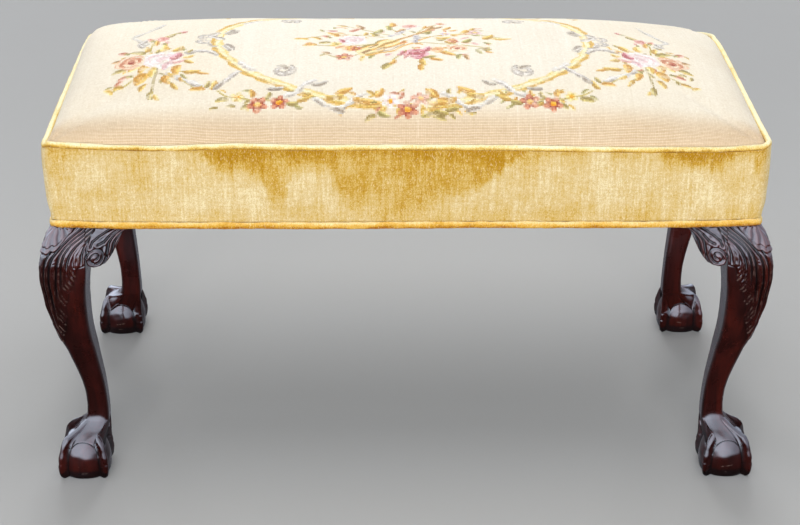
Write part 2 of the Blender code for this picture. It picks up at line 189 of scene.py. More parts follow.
class Tree:
    """Short way to write a material's node tree."""

    def __init__(self, name):
        self.mat = bpy.data.materials.new(name)
        self.mat.use_nodes = True
        self.t = self.mat.node_tree
        self.t.nodes.clear()
        self.out = self.t.nodes.new("ShaderNodeOutputMaterial")
        self.bsdf = self.t.nodes.new("ShaderNodeBsdfPrincipled")
        self.t.links.new(self.bsdf.outputs[0], self.out.inputs[0])
        self.where = self.node("ShaderNodeTexCoord").outputs["Object"]

    def node(self, kind, **kw):
        n = self.t.nodes.new(kind)
        for k, v in kw.items():
            setattr(n, k, v)
        return n

    def put(self, socket, value):
        if isinstance(value, bpy.types.NodeSocket):
            self.t.links.new(value, socket)
        else:
            socket.default_value = value

    def set(self, **kw):
        for k, v in kw.items():
            self.put(self.bsdf.inputs[k.replace("_", " ")], v)
        return self

    def scaled(self, scale, vector=None):
        n = self.node("ShaderNodeMapping")
        self.put(n.inputs["Vector"], vector or self.where)
        n.inputs["Scale"].default_value = scale
        return n.outputs[0]

    def noise(self, scale, detail=3.0, rough=0.55, vector=None, stretch=None, distortion=0.0):
        n = self.node("ShaderNodeTexNoise")
        v = vector or self.where
        if stretch:
            v = self.scaled(stretch, v)
        self.put(n.inputs["Vector"], v)
        n.inputs["Scale"].default_value = scale
        n.inputs["Detail"].default_value = detail
        n.inputs["Roughness"].default_value = rough
        n.inputs["Distortion"].default_value = distortion
        return n.outputs["Fac"]

    def voronoi(self, scale, vector=None, feature="F1", out="Distance"):
        n = self.node("ShaderNodeTexVoronoi", feature=feature)
        self.put(n.inputs["Vector"], vector or self.where)
        n.inputs["Scale"].default_value = scale
        return n.outputs[out]

    def math(self, op, a, b=0.0, c=0.0, clamp=False):
        n = self.node("ShaderNodeMath", operation=op, use_clamp=clamp)
        for i, v in enumerate((a, b, c)):
            self.put(n.inputs[i], v)
        return n.outputs[0]

    def fit(self, v, a, b, c=0.0, d=1.0, smooth=True):
        n = self.node("ShaderNodeMapRange", interpolation_type="SMOOTHSTEP" if smooth else "LINEAR")
        self.put(n.inputs["Value"], v)
        for i, x in zip(("From Min", "From Max", "To Min", "To Max"), (a, b, c, d)):
            self.put(n.inputs[i], x)
        return n.outputs["Result"]

    def ramp(self, v, *stops):
        n = self.node("ShaderNodeValToRGB")
        self.put(n.inputs[0], v)
        e = n.color_ramp.elements
        while len(e) > 1:
            e.remove(e[-1])
        for k, (p, col) in enumerate(stops):
            x = e[0] if k == 0 else e.new(p)
            x.position, x.color = p, col
        return n.outputs["Color"]

    def blend(self, fac, a, b, kind="MIX"):
        n = self.node("ShaderNodeMix", data_type="RGBA", blend_type=kind)
        self.put(n.inputs["Factor"], fac)
        self.put(n.inputs[6], a)
        self.put(n.inputs[7], b)
        return n.outputs[2]

    def attr(self, name, out="Fac"):
        return self.node("ShaderNodeAttribute", attribute_name=name).outputs[out]

    def bump(self, height, strength, distance, normal=None):
        n = self.node("ShaderNodeBump")
        self.put(n.inputs["Height"], height)
        n.inputs["Strength"].default_value = strength
        n.inputs["Distance"].default_value = distance
        if normal is not None:
            self.put(n.inputs["Normal"], normal)
        return n.outputs[0]

    def split(self, vector):
        n = self.node("ShaderNodeSeparateXYZ")
        self.put(n.inputs[0], vector)
        return n.outputs


def mahogany():
    t = Tree("mahogany_polished")
    figure = t.noise(9.0, 4.0, 0.6, stretch=(2.2, 2.2, 0.35), distortion=0.6)
    pores = t.noise(900.0, 2.0, 0.5, stretch=(1.0, 1.0, 0.045))
    streak = t.noise(160.0, 3.0, 0.6, stretch=(1.0, 1.0, 0.06))
    base = t.ramp(figure, (0.25, srgb(22, 7, 6)), (0.5, srgb(41, 12, 10)), (0.75, srgb(76, 24, 17)))
    base = t.blend(t.fit(streak, 0.45, 0.75, 0.0, 0.55), base, srgb(20, 7, 6))
    base = t.blend(t.fit(pores, 0.60, 0.78, 0.0, 0.5), base, srgb(12, 5, 5))
    # darker in the hollows: polish and dirt in the carved grooves, and painted shade on the feet under the lip, beside
    # the toes and tendons and towards the floor; lighter on the raised parts
    shade_and_grime = t.attr("shade_and_grime")
    base = t.blend(t.fit(shade_and_grime, 0.05, 0.9, 0.0, 0.9), base, srgb(7, 4, 4))
    proud = t.attr("proud")
    base = t.blend(t.fit(proud, 0.3, 1.0, 0.0, 0.35), base, srgb(92, 40, 28))
    # painted highlight: light lines where the polish would glint, on the carving and on scratches of the feet
    glint = t.math("MULTIPLY", t.attr("painted_glints"), t.fit(t.noise(140.0, 3.0, 0.6), 0.40, 0.60, 0.15, 1.0))
    base = t.blend(t.fit(glint, 0.10, 0.85, 0.0, 0.66), base, srgb(122, 102, 96))
    rough = t.fit(t.noise(38.0, 4.0, 0.6), 0.3, 0.75, 0.24, 0.40)
    rough = t.math("ADD", rough, t.math("MULTIPLY", shade_and_grime, 0.25))
    fine = t.math("ADD", t.math("MULTIPLY", streak, 0.5), t.math("MULTIPLY", pores, 0.5))
    t.set(Base_Color=base, Roughness=rough, Specular_IOR_Level=0.10,
          Coat_Weight=0.85, Coat_Roughness=0.13, Coat_IOR=1.45,
          Normal=t.bump(fine, 0.18, 0.0004))
    return t.mat


def plain_wood(name, dark, mid, light, along):
    t = Tree(name)
    s = [3.0, 3.0, 3.0]
    s["xyz".index(along)] = 0.12
    grain = t.noise(26.0, 5.0, 0.6, stretch=tuple(s), distortion=0.8)
    flecks = t.noise(420.0, 2.0, 0.5, stretch=tuple(s))
    c = t.ramp(grain, (0.25, dark), (0.5, mid), (0.78, light))
    c = t.blend(t.fit(flecks, 0.58, 0.75, 0.0, 0.45), c, dark)
    t.set(Base_Color=c, Roughness=t.fit(grain, 0.2, 0.8, 0.55, 0.75), Specular_IOR_Level=0.35,
          Normal=t.bump(flecks, 0.3, 0.0004))
    return t.mat


MAHOGANY = mahogany()


# ================================================================ legs
# height, outer face, inner face, then corner radii: arris, side corners, inner corner
LEG = np.array((
    (0.4478, -0.0070, -0.0485, 0.0118, 0.0010, 0.0010),
    (0.3668, -0.0072, -0.0485, 0.0118, 0.0010, 0.0010),
    (0.3610, -0.0068, -0.0485, 0.0118, 0.0010, 0.0010),
    (0.3500, 0.0000, -0.0485, 0.0108, 0.0010, 0.0010),
    (0.3390, 0.0046, -0.0485, 0.0095, 0.0010, 0.0010),
    (0.3240, 0.0084, -0.0485, 0.0095, 0.0010, 0.0010),
    (0.3110, 0.0104, -0.0485, 0.0095, 0.0020, 0.0010),
    (0.2940, 0.0108, -0.0474, 0.0095, 0.0050, 0.0030),
    (0.2760, 0.0090, -0.0456, 0.0095, 0.0070, 0.0050),
    (0.2575, 0.0066, -0.0448, 0.0090, 0.0080, 0.0060),
    (0.2380, 0.0028, -0.0448, 0.0085, 0.0080, 0.0060),
    (0.2185, -0.0014, -0.0455, 0.0080, 0.0080, 0.0060),
    (0.1980, -0.0070, -0.0474, 0.0075, 0.0078, 0.0060),
    (0.1820, -0.0124, -0.0495, 0.0072, 0.0075, 0.0060),
    (0.1660, -0.0168, -0.0512, 0.0070, 0.0072, 0.0060),
    (0.1457, -0.0222, -0.0536, 0.0068, 0.0070, 0.0060),
    (0.1253, -0.0268, -0.0558, 0.0066, 0.0068, 0.0060),
    (0.1055, -0.0295, -0.0572, 0.0065, 0.0065, 0.0060),
    (0.0890, -0.0300, -0.0580, 0.0065, 0.0065, 0.0060),
    (0.0780, -0.0290, -0.0584, 0.0070, 0.0070, 0.0065),
))
FOOT_C, FOOT_FORWARD, LEG_FORWARD = -0.0258, 0.0020, 0.0040
RAIL_OUT, POST_IN = -0.0070, -0.0485


def forward(z):
    return LEG_FORWARD * ease(0.0, 1.0, (0.3610 - np.asarray(z, float)) / 0.0350)


def leg_row(k, z):
    return curve(LEG[:, 0], LEG[:, k], z)


# ---------------------------------------------------------------- carving
# All in millimetres: distance from the arris, height. The knee leaf runs from under the
# seat to its tip low on the arris; long gouged lines part its strands.
GROOVE = (
    ((27, 364), (20.5, 350), (13.5, 341), (8.0, 332), (5.0, 323), (3.6, 314), (2.6, 300), (2.2, 284), (2.0, 262), (2.0, 240), (1.6, 212)),
    ((38, 364), (28.5, 350), (20.5, 339), (13.2, 328), (11.0, 319), (9.8, 306), (9.2, 290), (8.8, 272), (8.2, 256), (6.4, 240), (4.8, 226)),
    ((46, 364), (34, 349.5), (27, 340), (22.0, 330), (20.4, 318), (19.6, 306), (18.4, 293), (17.0, 281), (15.4, 268), (13.0, 254)),
    ((53, 364), (40, 349), (32, 341), (27, 331), (25.6, 319), (25.2, 308), (25.0, 299), (24.4, 288), (24.2, 276)),
    ((60, 364), (47, 349), (40, 341), (35.4, 333), (33.2, 325), (32.4, 316), (32.6, 309), (33.6, 300)),
    ((68, 364), (55, 349), (50.5, 340), (49.5, 330), (51.0, 320), (52.0, 312)),
)
VEIN = (
    ((49.5, 364), (37, 349.5), (29.5, 340.5), (24.5, 330), (23.0, 318), (22.4, 306), (21.6, 294), (20.6, 283)),
    ((56.5, 364), (43.5, 349), (36, 341), (31, 332), (29.4, 321), (28.9, 311), (29.2, 303)),
    ((63, 364), (50, 349), (43.5, 340), (39.6, 331), (39.4, 322), (40.6, 314)),
    ((65.5, 364), (52.6, 349), (47.5, 340), (44.8, 331), (45.2, 322), (46.6, 314)),
    ((33, 364), (24.5, 350), (17, 340), (10.6, 330), (8.0, 320), (6.6, 306), (5.8, 290), (5.4, 272), (5.0, 252)),
)
# raised fingers along the leaf's inner edge, each ending in a rounded tip
FINGER = (
    ((51.5, 334), (51.8, 326), (53.4, 319.4)), ((46.4, 334), (45.6, 326), (47.0, 317.4)), ((41.4, 330), (41.6, 322), (43.2, 316.4)),
    ((36.4, 319), (38.6, 309), (43.6, 301.4)), ((33.8, 311), (37.0, 302), (43.0, 294.6)), ((30.6, 305), (33.4, 296), (39.2, 287.6)),
    ((27.6, 301), (31.0, 290), (37.2, 280.4)), ((25.4, 295), (27.6, 286), (32.6, 277.8)),
    ((21.4, 284), (23.2, 272), (27.8, 263.0)), ((18.4, 278), (19.8, 268), (23.8, 258.6)),
    ((14.6, 262), (16.6, 251), (21.4, 240.6)), ((11.8, 257), (13.0, 246), (18.0, 234.4)), ((9.4, 248), (10.6, 240), (15.4, 228.4)),
    ((6.2, 236), (7.6, 226), (11.0, 217.6)), ((4.0, 232), (4.8, 222), (7.2, 211.6)), ((0.6, 226), (1.4, 212), (2.6, 199.0)),
)
LEAF_EDGE_Z = (196, 199, 213, 219, 229, 242, 259, 264, 278, 282, 288, 296, 303, 313, 319, 400)
LEAF_EDGE_S = (0.6, 3.0, 8.2, 11.4, 15.8, 21.6, 23.6, 27.6, 32.2, 37.0, 38.8, 42.6, 43.6, 46.0, 60.0, 120.0)
TICK = ((17.6, 336), (17.0, 331.5), (15.6, 323), (15.8, 318.8), (15.6, 309), (15.4, 305), (14.6, 296.5), (14.2, 292.5), (13.4, 284.5))
EYE = (69.0, 326.0)
SCROLL = (
    ((60, 339), (60.5, 345), (66, 351), (74, 358), (82, 365)),
    ((70, 311), (78.5, 314), (83, 322), (83, 332), (81.5, 342), (84, 352), (90, 363)),
    ((74, 309), (84, 315), (89, 324), (89, 335), (88.5, 344), (92, 354), (98, 363)),
    ((69, 341), (75, 344), (79, 351), (86, 361)),
)


def carve(s, z):
    """Height of the carving in millimetres; s is the distance from the arris, z the height."""
    edge = np.interp(z, LEAF_EDGE_Z, LEAF_EDGE_S)
    inside = ease(-0.4, 2.6, edge - s)
    leaf = 1.1 + 0 * s
    cut = np.zeros_like(s)
    for line in GROOVE:
        d, t = to_line(s, z, line)
        deep = (2.5 - 1.5 * ease(0.62, 1.0, t)) * ease(1.0, 0.80, t)
        cut = np.maximum(cut, deep * bell(d, 1.55) + 0.25 * deep * bell(d, 0.6))
        leaf = leaf + 0.55 * bell(np.abs(d) - 3.3, 1.5) * ease(1.0, 0.8, t)
    for line in VEIN:
        d, t = to_line(s, z, line)
        cut = np.maximum(cut, 1.15 * bell(d, 0.85) * ease(1.0, 0.85, t))
    for ts, tz in TICK:
        u, w = s - ts, z - tz
        cut = np.maximum(cut, 0.32 * bell(u * 0.93 + w * 0.36, 2.0) * bell(w * 0.93 - u * 0.36, 0.8))
    leaf = leaf - cut
    rib, side = np.zeros_like(s), np.zeros_like(s)
    for line in FINGER:
        d, t = to_line(s, z, line)
        on = ease(0.0, 0.35, t)
        rib = np.maximum(rib, on * bell(d, 1.45) * (1.0 + 0.35 * ease(0.7, 1.0, t)))
        side = np.maximum(side, on * bell(d - 2.5, 0.95))
    leaf = leaf - 0.7 * side * (1 - np.clip(rib, 0, 1)) + 0.2 * rib
    ground = -0.45 * bell(np.maximum(s - edge, 0.0), 3.0) + 0.22 * rib
    out = mix(ground, leaf, inside)

    # turned-over leaf at the top corner
    low = np.where(s < 17, 331.5 + 0.36 * s, 337.6 + (s - 17) * 2.9)
    low = low - 2.0 * np.abs(np.sin(s * math.pi / 8.5))
    panel_in = ease(-0.6, 1.2, z - low)
    turn = np.arctan2(s + 5.0, np.maximum(378.0 - z, 1.0))
    panel = 1.9 + 0.85 * np.cos(turn * 27.0) - 1.0 * bell(z - low - 6.5, 1.3) + 0.5 * bell(z - low - 2.2, 1.6)
    rim = -1.6 * bell(z - low + 1.3, 1.1) * (s < 25)
    out = mix(out + rim, panel, panel_in)

    # volute and flame leaves on the bracket
    r = np.hypot(s - EYE[0], z - EYE[1])
    a = np.arctan2(z - EYE[1], s - EYE[0])
    wind = 9.4 + 1.5 * a / math.pi
    coil = 2.6 + 4.4 * ((a + 0.5 * math.pi) / (2 * math.pi) % 1.0)      # the groove winds out from the eye
    v = 0.6 + 0.7 * bell(r, 2.0) - 1.8 * bell(r - coil, 0.9) + 0.9 * bell(r - coil - 2.2, 1.3)
    v = v - 1.7 * bell(r - wind, 1.05)
    for line in SCROLL:
        d, _ = to_line(s, z, line)
        v = v - np.where(r > 8.8, 2.2 * bell(d, 1.15) - 0.8 * bell(d - 3.2, 1.4), 0.0)
    flame = np.sin((a - 0.075 * r) * 12.0)
    v = v + 0.3 * flame * ease(9.5, 14.0, r)
    beyond = ease(56.0, 59.0, s + 0.10 * (z - 325)) * ease(309.0, 315.0, z)
    out = mix(out, v, beyond)
    out = out - 1.9 * bell(s + 0.10 * (z - 325) - 57.0, 1.3) * ease(313.0, 321.0, z)
    return out * ease(363.4, 360.2, z) * ease(193.0, 198.0, z)


def painted_glints(s, z):
    """Painted highlight: light lines beside the gouged lines and along the fingers of the leaf, where the polish would
    glint.
    """
    out = np.zeros_like(s)
    for lines, off, wide, much in ((GROOVE, 2.2, 0.55, 0.6), (VEIN, 1.3, 0.45, 0.45), (SCROLL, 2.2, 0.5, 0.5)):
        for line in lines:
            d, t = to_line(s, z, line)
            out = np.maximum(out, much * bell(np.abs(d) - off, wide) * ease(1.0, 0.9, t))
    for line in FINGER:
        d, t = to_line(s, z, line)
        out = np.maximum(out, 0.70 * bell(d - 0.5, 0.55) * ease(0.1, 0.5, t))
    return out * ease(363.4, 360.2, z) * ease(193.0, 198.0, z)


# ---------------------------------------------------------------- one leg
N_OUT, N_IN = 76, 34


def leg_half(z):
    """Half outline from the arris over the front to the inner corner, for heights z.

    Gives offsets a, b, normals and the distance from the arris."""
    o, i = leg_row(1, z)[:, None], leg_row(2, z)[:, None]
    ro, rs, ri = (leg_row(n, z)[:, None] for n in (3, 4, 5))
    q = math.pi / 4
    out_len = ro * q + (o - ro - i - rs) + rs * q
    in_len = rs * q + (o - rs - i - ri) + ri * q
    t_out = np.linspace(0, 1, N_OUT + 1)[None, :] * out_len
    t_in = np.linspace(0, 1, N_IN + 1)[None, 1:] * in_len
    t = np.concatenate([t_out, out_len + t_in], 1)
    a = np.empty_like(t)
    b = np.empty_like(t)
    na = np.empty_like(t)
    nb = np.empty_like(t)
    edge = [ro * q]
    edge.append(edge[-1] + (o - ro - i - rs))
    edge.append(edge[-1] + rs * 2 * q)
    edge.append(edge[-1] + (o - rs - i - ri))
    full = lambda x: np.broadcast_to(x, t.shape)
    O, I, RO, RS, RI = map(full, (o, i, ro, rs, ri))
    m = t <= edge[0]
    th = q + t / np.maximum(RO, 1e-6)
    a[m], b[m] = (O - RO + RO * np.cos(th))[m], (O - RO + RO * np.sin(th))[m]
    na[m], nb[m] = np.cos(th)[m], np.sin(th)[m]
    m = (t > edge[0]) & (t <= edge[1])
    a[m], b[m] = (O - RO - (t - edge[0]))[m], O[m]
    na[m], nb[m] = 0, 1
    m = (t > edge[1]) & (t <= edge[2])
    th = 2 * q + (t - edge[1]) / np.maximum(RS, 1e-6)
    a[m], b[m] = (I + RS + RS * np.cos(th))[m], (O - RS + RS * np.sin(th))[m]
    na[m], nb[m] = np.cos(th)[m], np.sin(th)[m]
    m = (t > edge[2]) & (t <= edge[3])
    a[m], b[m] = I[m], (O - RS - (t - edge[2]))[m]
    na[m], nb[m] = -1, 0
    m = t > edge[3]
    th = 4 * q + (t - edge[3]) / np.maximum(RI, 1e-6)
    a[m], b[m] = (I + RI + RI * np.cos(th))[m], (I + RI + RI * np.sin(th))[m]
    na[m], nb[m] = np.cos(th)[m], np.sin(th)[m]
    return a, b, na, nb, t


# radius of the toes by height, both in millimetres
CLAW = ((0.0, 41.4), (4.0, 43.8), (10.0, 45.3), (17.0, 45.8), (22.0, 45.4), (28.0, 44.4), (34.0, 43.0), (40.0, 41.2),
        (45.0, 39.4), (49.0, 37.6), (52.5, 35.6), (55.5, 33.4), (57.5, 31.4), (62.0, 26.0))
TOE_TOP = (56.5, 59.0, 52.0, 59.0)
TENDON = (58.6, 62.2, 58.0, 62.2)
ANKLE = 69.0


def toes(theta):
    """Angle from each of the four toes, the outermost first."""
    return [(theta - math.pi / 4 - n * math.pi / 2 + math.pi) % (2 * math.pi) - math.pi for n in range(4)]


def ball_radius(theta, zm):
    up, down = np.clip((zm - 18) / 43.5, 0, 0.995), np.clip((18 - zm) / 62.0, 0, 1)
    squat = np.where(zm > 18, np.sqrt(1 - up ** 2), (1 - down ** 2.2) ** (1 / 2.2))
    c, s = np.abs(np.cos(theta)), np.abs(np.sin(theta))
    tool = 0.10 * np.sin(5 * theta + zm * 0.21) + 0.08 * np.sin(9 * theta - zm * 0.33 + 1.3) \
        + 0.06 * np.sin(3 * theta + zm * 0.52)
    return np.maximum(33.0 * squat + tool, 4.0) * (c ** 2.2 + s ** 2.2) ** (-1 / 2.2)


def foot_side(theta, zm):
    """Ball gripped by four toes: distance from the middle of the foot, in millimetres."""
    out = ball_radius(theta, zm)
    for n, d in enumerate(toes(theta)):
        rho = curve(*zip(*CLAW), zm)
        if n == 2:                                   # stands under the inner corner of the ankle
            rho = np.maximum(rho, 43.4 * ease(6.0, 26.0, zm))
        rho = rho + 0.15 * bell(zm - 50.0, 3.4) - 0.1 * bell(zm - 39.5, 3.0) + 0.35 * bell(zm - 30.0, 3.4) \
            - 0.6 * bell(zm - 22.5, 2.2)
        wide = 5.2 + 0.8 * bell(zm - 51.0, 5.0) + 0.7 * bell(zm - 31.0, 4.6) - 0.3 * bell(zm - 39.5, 3.5) \
            - 1.7 * ease(20.0, 2.0, zm)
        d = np.clip(d, -1.2, 1.2)
        lat = rho * np.sin(d)
        flat = np.clip(np.abs(lat) / wide, 0, 1)
        tube = rho - wide * 1.15 * (1 - np.sqrt(np.maximum(1 - flat ** 2, 0.0)))
        tube = np.where(np.abs(lat) < wide, tube / np.maximum(np.cos(d), 0.4), 0.0)
        # soft union, with a fine crease beside each toe
        h = np.clip(0.5 + 0.5 * (tube - out) / 1.8, 0, 1)
        joined = mix(out, tube, h) + 1.8 * h * (1 - h) * 0.5
        out = joined - 0.35 * bell(np.abs(lat) - wide - 0.6, 0.8) * (tube < out)
    return out


def foot_rows(ring, theta):
    """Foot below the ankle ring: skin and tendons run out to a lip over the ball, then ball and toes.

    Gives the grid as offsets in metres, its shade values, painted shade among them, and its painted scratch glints."""
    off = np.abs(np.stack(toes(theta)))
    which, near = off.argmin(0), np.degrees(off.min(0))
    side = (theta + math.pi / 4) % (math.pi / 2) - math.pi / 4      # from the middle of a face
    inner = np.isin(np.round(theta / (math.pi / 2)).astype(int) % 4, (2, 3))
    arch = 45.0 + 0 * theta
    for _ in range(6):                               # round arch on the curve of the ball
        span = np.clip(np.abs(ball_radius(theta, arch) * np.sin(side)) / 17.4, 0, 0.985)
        arch = mix(arch, np.where(inner, 26.5, 30.0) + 21.5 * (1 - span ** 2.3) ** (1 / 2.3), 0.6)
    toe = ease(13.0, 6.5, near)
    z1 = mix(arch, np.take(TOE_TOP, which), toe)
    open_ = ease(10.0, 17.0, near)                    # no lip at the toes
    r1 = foot_side(theta, z1) + 1.6 * open_
    way = np.stack([np.cos(theta), np.sin(theta)], -1)
    middle = np.array([FOOT_C, FOOT_C + FOOT_FORWARD])
    start, end = (ring - middle) * 1000, way * r1[:, None]
    out = ease(2.0, 10.0, r1 - (start * way).sum(-1))
    v = np.linspace(0, 1, 28)[:, None]
    p = mix(v, v ** 1.5, out)
    hem = mix(np.maximum(z1, np.where(inner, z1, 52.0)), z1, p ** 5)
    skin = hem + (ANKLE - hem) * (1 - ((p + 0.12) ** 0.6 - 0.12 ** 0.6) / (1.12 ** 0.6 - 0.12 ** 0.6))
    flat = np.take(TENDON, which)
    cord = flat + (ANKLE - flat) * (1 - p) ** 4.5 - (flat - z1) * p ** 7
    top = mix(skin, np.maximum(cord, skin), ease(14.0, 4.5, near))
    top = mix(ANKLE + (z1 - ANKLE) * v, top, out)
    upper = np.concatenate([start + (end - start) * p[..., None], top[..., None]], -1)
    # painted shade: a dark line beside each tendon
    crease_shade = -0.7 * bell(near - 13.6, 1.8) * ease(0.15, 0.45, p) * out
    z = np.concatenate([z1 - np.array([0.25, 0.5, 0.75, 1.05, 1.5, 2.2])[:, None],
                        (z1 - 2.2) * np.linspace(1, 0, 50)[1:, None]])
    drop = z1 - z
    r = foot_side(theta, z)
    # painted shading: darker in the hollows beside the toes, under the lip and towards the floor, lighter on the
    # rounded parts
    painted_shading = np.clip(((r - (np.roll(r, 3, 1) + np.roll(r, -3, 1)) / 2)) * 0.34, -0.9, 1.3)
    painted_shading = painted_shading - 1.2 * bell(drop - 1.2, 0.8) * open_
    painted_shading = mix(painted_shading, -1.6, ease(15.0, 4.0, z))
    r = r + (1.6 * ease(0.80, 0.15, drop) - 0.7 * bell(drop - 1.2, 0.6)) * open_ - 0.9 * ease(3.0, 0.0, z)
    lower = np.stack([r * way[:, 0], r * way[:, 1], z], -1)
    grid = np.concatenate([upper, lower]) / 1000
    grid[..., :2] += middle
    grid[..., 1] += LEG_FORWARD
    face = np.degrees(side)
    # painted highlight: light streaks where scratches on the ball would glint
    scratch_glint = 0.9 * bell(z - 17.5 + 0.10 * face, 0.8) * ease(17.0, 9.0, np.abs(face - 1)) \
        + 0.6 * bell(z - 8.5, 0.8) * ease(11.0, 5.0, np.abs(face - 3))
    return grid, np.concatenate([crease_shade, painted_shading]), np.concatenate([0 * crease_shade, scratch_glint])


def leg_mesh():
    """One leg in offsets (a, b, z) with its shade values, and its faces."""
    z_top = np.array([0.4478, 0.4300, 0.4000, 0.3760, 0.3680])
    z_knee = np.arange(0.3664, 0.1895, -0.0008)
    z_shank = np.arange(z_knee[-1] - 0.0016, 0.0842, -0.0022)
    z_ankle = np.arange(0.0832, 0.0695, -0.0013)
    z_leg = np.concatenate([z_top, z_knee, z_shank])
    a, b, na, nb, t = leg_half(z_leg)
    n_half = a.shape[1]
    s = t[:, :N_OUT + 1] * 1000
    zz = np.repeat(z_leg[:, None] * 1000, N_OUT + 1, 1)
    c = np.zeros_like(a)
    on = (zz[:, 0] < 366.6) & (zz[:, 0] > 190)
    depth = np.zeros_like(s)
    depth[on] = carve(s[on], zz[on])
    # free inner edge of the face below the bracket stays clean
    width = t[:, N_OUT:N_OUT + 1] * 1000
    depth = depth * np.where(zz < 312, ease(0.0, 5.0, width - s), 1.0)
    c[:, :N_OUT + 1] = depth / 1000
    half = np.stack([a + na * c, b + nb * c], -1)
    other = half[:, 1:-1, ::-1][:, ::-1]              # mirror over the diagonal
    rows = np.concatenate([half, other], 1)
    z3 = np.repeat(z_leg[:, None, None], rows.shape[1], 1)
    low = np.stack([forward(z_leg)] * rows.shape[1], 1)
    rows[:, :, 1] += low
    body = np.concatenate([rows, z3], -1)
    full = np.concatenate([depth, np.zeros((len(z_leg), n_half - N_OUT - 1))], 1)
    shade = np.concatenate([full, full[:, 1:-1][:, ::-1]], 1)

    # ankle, then the foot
    za = z_ankle[0]
    a0, b0, *_ = leg_half(np.array([za]))
    ring = np.stack([a0[0], b0[0]], -1)
    ring = np.concatenate([ring, ring[1:-1, ::-1][::-1]], 0)
    mid = float(leg_row(1, [za])[0] + leg_row(2, [za])[0]) / 2
    theta = np.arctan2(ring[:, 1] - mid, ring[:, 0] - mid)
    ankle = np.empty((len(z_ankle), len(ring), 3))
    spread = 0.0036 * ease(-0.35, 0.70, np.cos(theta - math.pi / 4))      # on the two outer faces
    flare = spread * ((z_ankle[0] - z_ankle) / (z_ankle[0] - ANKLE / 1000))[:, None] ** 2.2
    ankle[..., 0], ankle[..., 1] = ring[:, 0] + flare * np.cos(theta), ring[:, 1] + LEG_FORWARD + flare * np.sin(theta)
    ankle[..., 2] = z_ankle[:, None]
    # the columns spread evenly around the foot
    turn = np.unwrap(theta)
    step = np.roll(turn, -1) - turn
    step[-1] += 2 * math.pi * np.sign(step[0])
    for _ in range(40):
        step = (np.roll(step, 1) + 2 * step + np.roll(step, -1)) / 4
    even = np.cumsum(step) - step
    even = even + (turn - even).mean()
    # the foot's shade values are painted shade and painted highlight
    foot, painted_shading, scratch_glint = foot_rows(ring + spread[:, None] * np.stack([np.cos(theta), np.sin(theta)], -1), even)
    grid = np.concatenate([body, ankle, foot], 0)
    shade = np.concatenate([shade, np.zeros(ankle.shape[:2]), painted_shading], 0)
    # painted highlight lines on the carving, and painted scratch glints on the foot
    light = np.zeros(shade.shape)
    light[:len(body), :N_OUT + 1][on] = painted_glints(s[on], zz[on])
    light[:len(body), n_half:] = light[:len(body), 1:n_half - 1][:, ::-1]
    light[-len(scratch_glint):] = scratch_glint
    rows_n, cols = grid.shape[:2]
    verts = grid.reshape(-1, 3)
    quads = grid_faces(rows_n, cols, wrap_cols=True)
    caps = []
    for first, z in ((0, verts[0, 2]), ((rows_n - 1) * cols, 0.0)):
        ring = verts[first:first + cols]
        verts = np.concatenate([verts, [ring.mean(0)]])
        k = np.arange(cols)
        tri = np.stack([np.full(cols, len(verts) - 1), first + k, first + (k + 1) % cols], -1)
        caps.append(tri if first else tri[:, ::-1])
    shade = np.concatenate([shade.ravel(), [0, 0]])
    return verts, [quads, np.concatenate(caps)], shade, np.concatenate([light.ravel(), [0, 0]])


def wood_values(ob, shade, light):
    # first value: painted highlight lines; second: darker in the hollows, dirt and painted shade; third: lighter on the
    # raised parts
    point_values(ob, "painted_glints", np.clip(light, 0, 1))
    point_values(ob, "shade_and_grime", np.clip((0.35 - shade) / 1.5, 0, 1) * (np.abs(shade) > 1e-4))
    point_values(ob, "proud", np.clip((shade - 1.0) / 1.2, 0, 1))


leg_v, leg_f, leg_s, leg_r = leg_mesh()
for side, sx, sy in SIDES:
    v = np.stack([sx * (HALF_X + leg_v[:, 0]), sy * (HALF_Y + leg_v[:, 1]), leg_v[:, 2]], -1)
    ob = build("carved_leg_" + side, v, outward(v, leg_f), [MAHOGANY])
    wood_values(ob, leg_s, leg_r)
    place(ob, "mahogany", "leg_" + side)


# ================================================================ knee brackets
BRACKET = np.array((
    (0.3667, 0.0003, 0.0640), (0.3610, 0.0003, 0.0560), (0.3550, 0.0003, 0.0475),
    (0.3460, 0.0003, 0.0428), (0.3370, 0.0003, 0.0385), (0.3240, 0.0003, 0.0315),
    (0.3170, 0.0022, 0.0248), (0.3130, 0.0075, 0.0168),
))


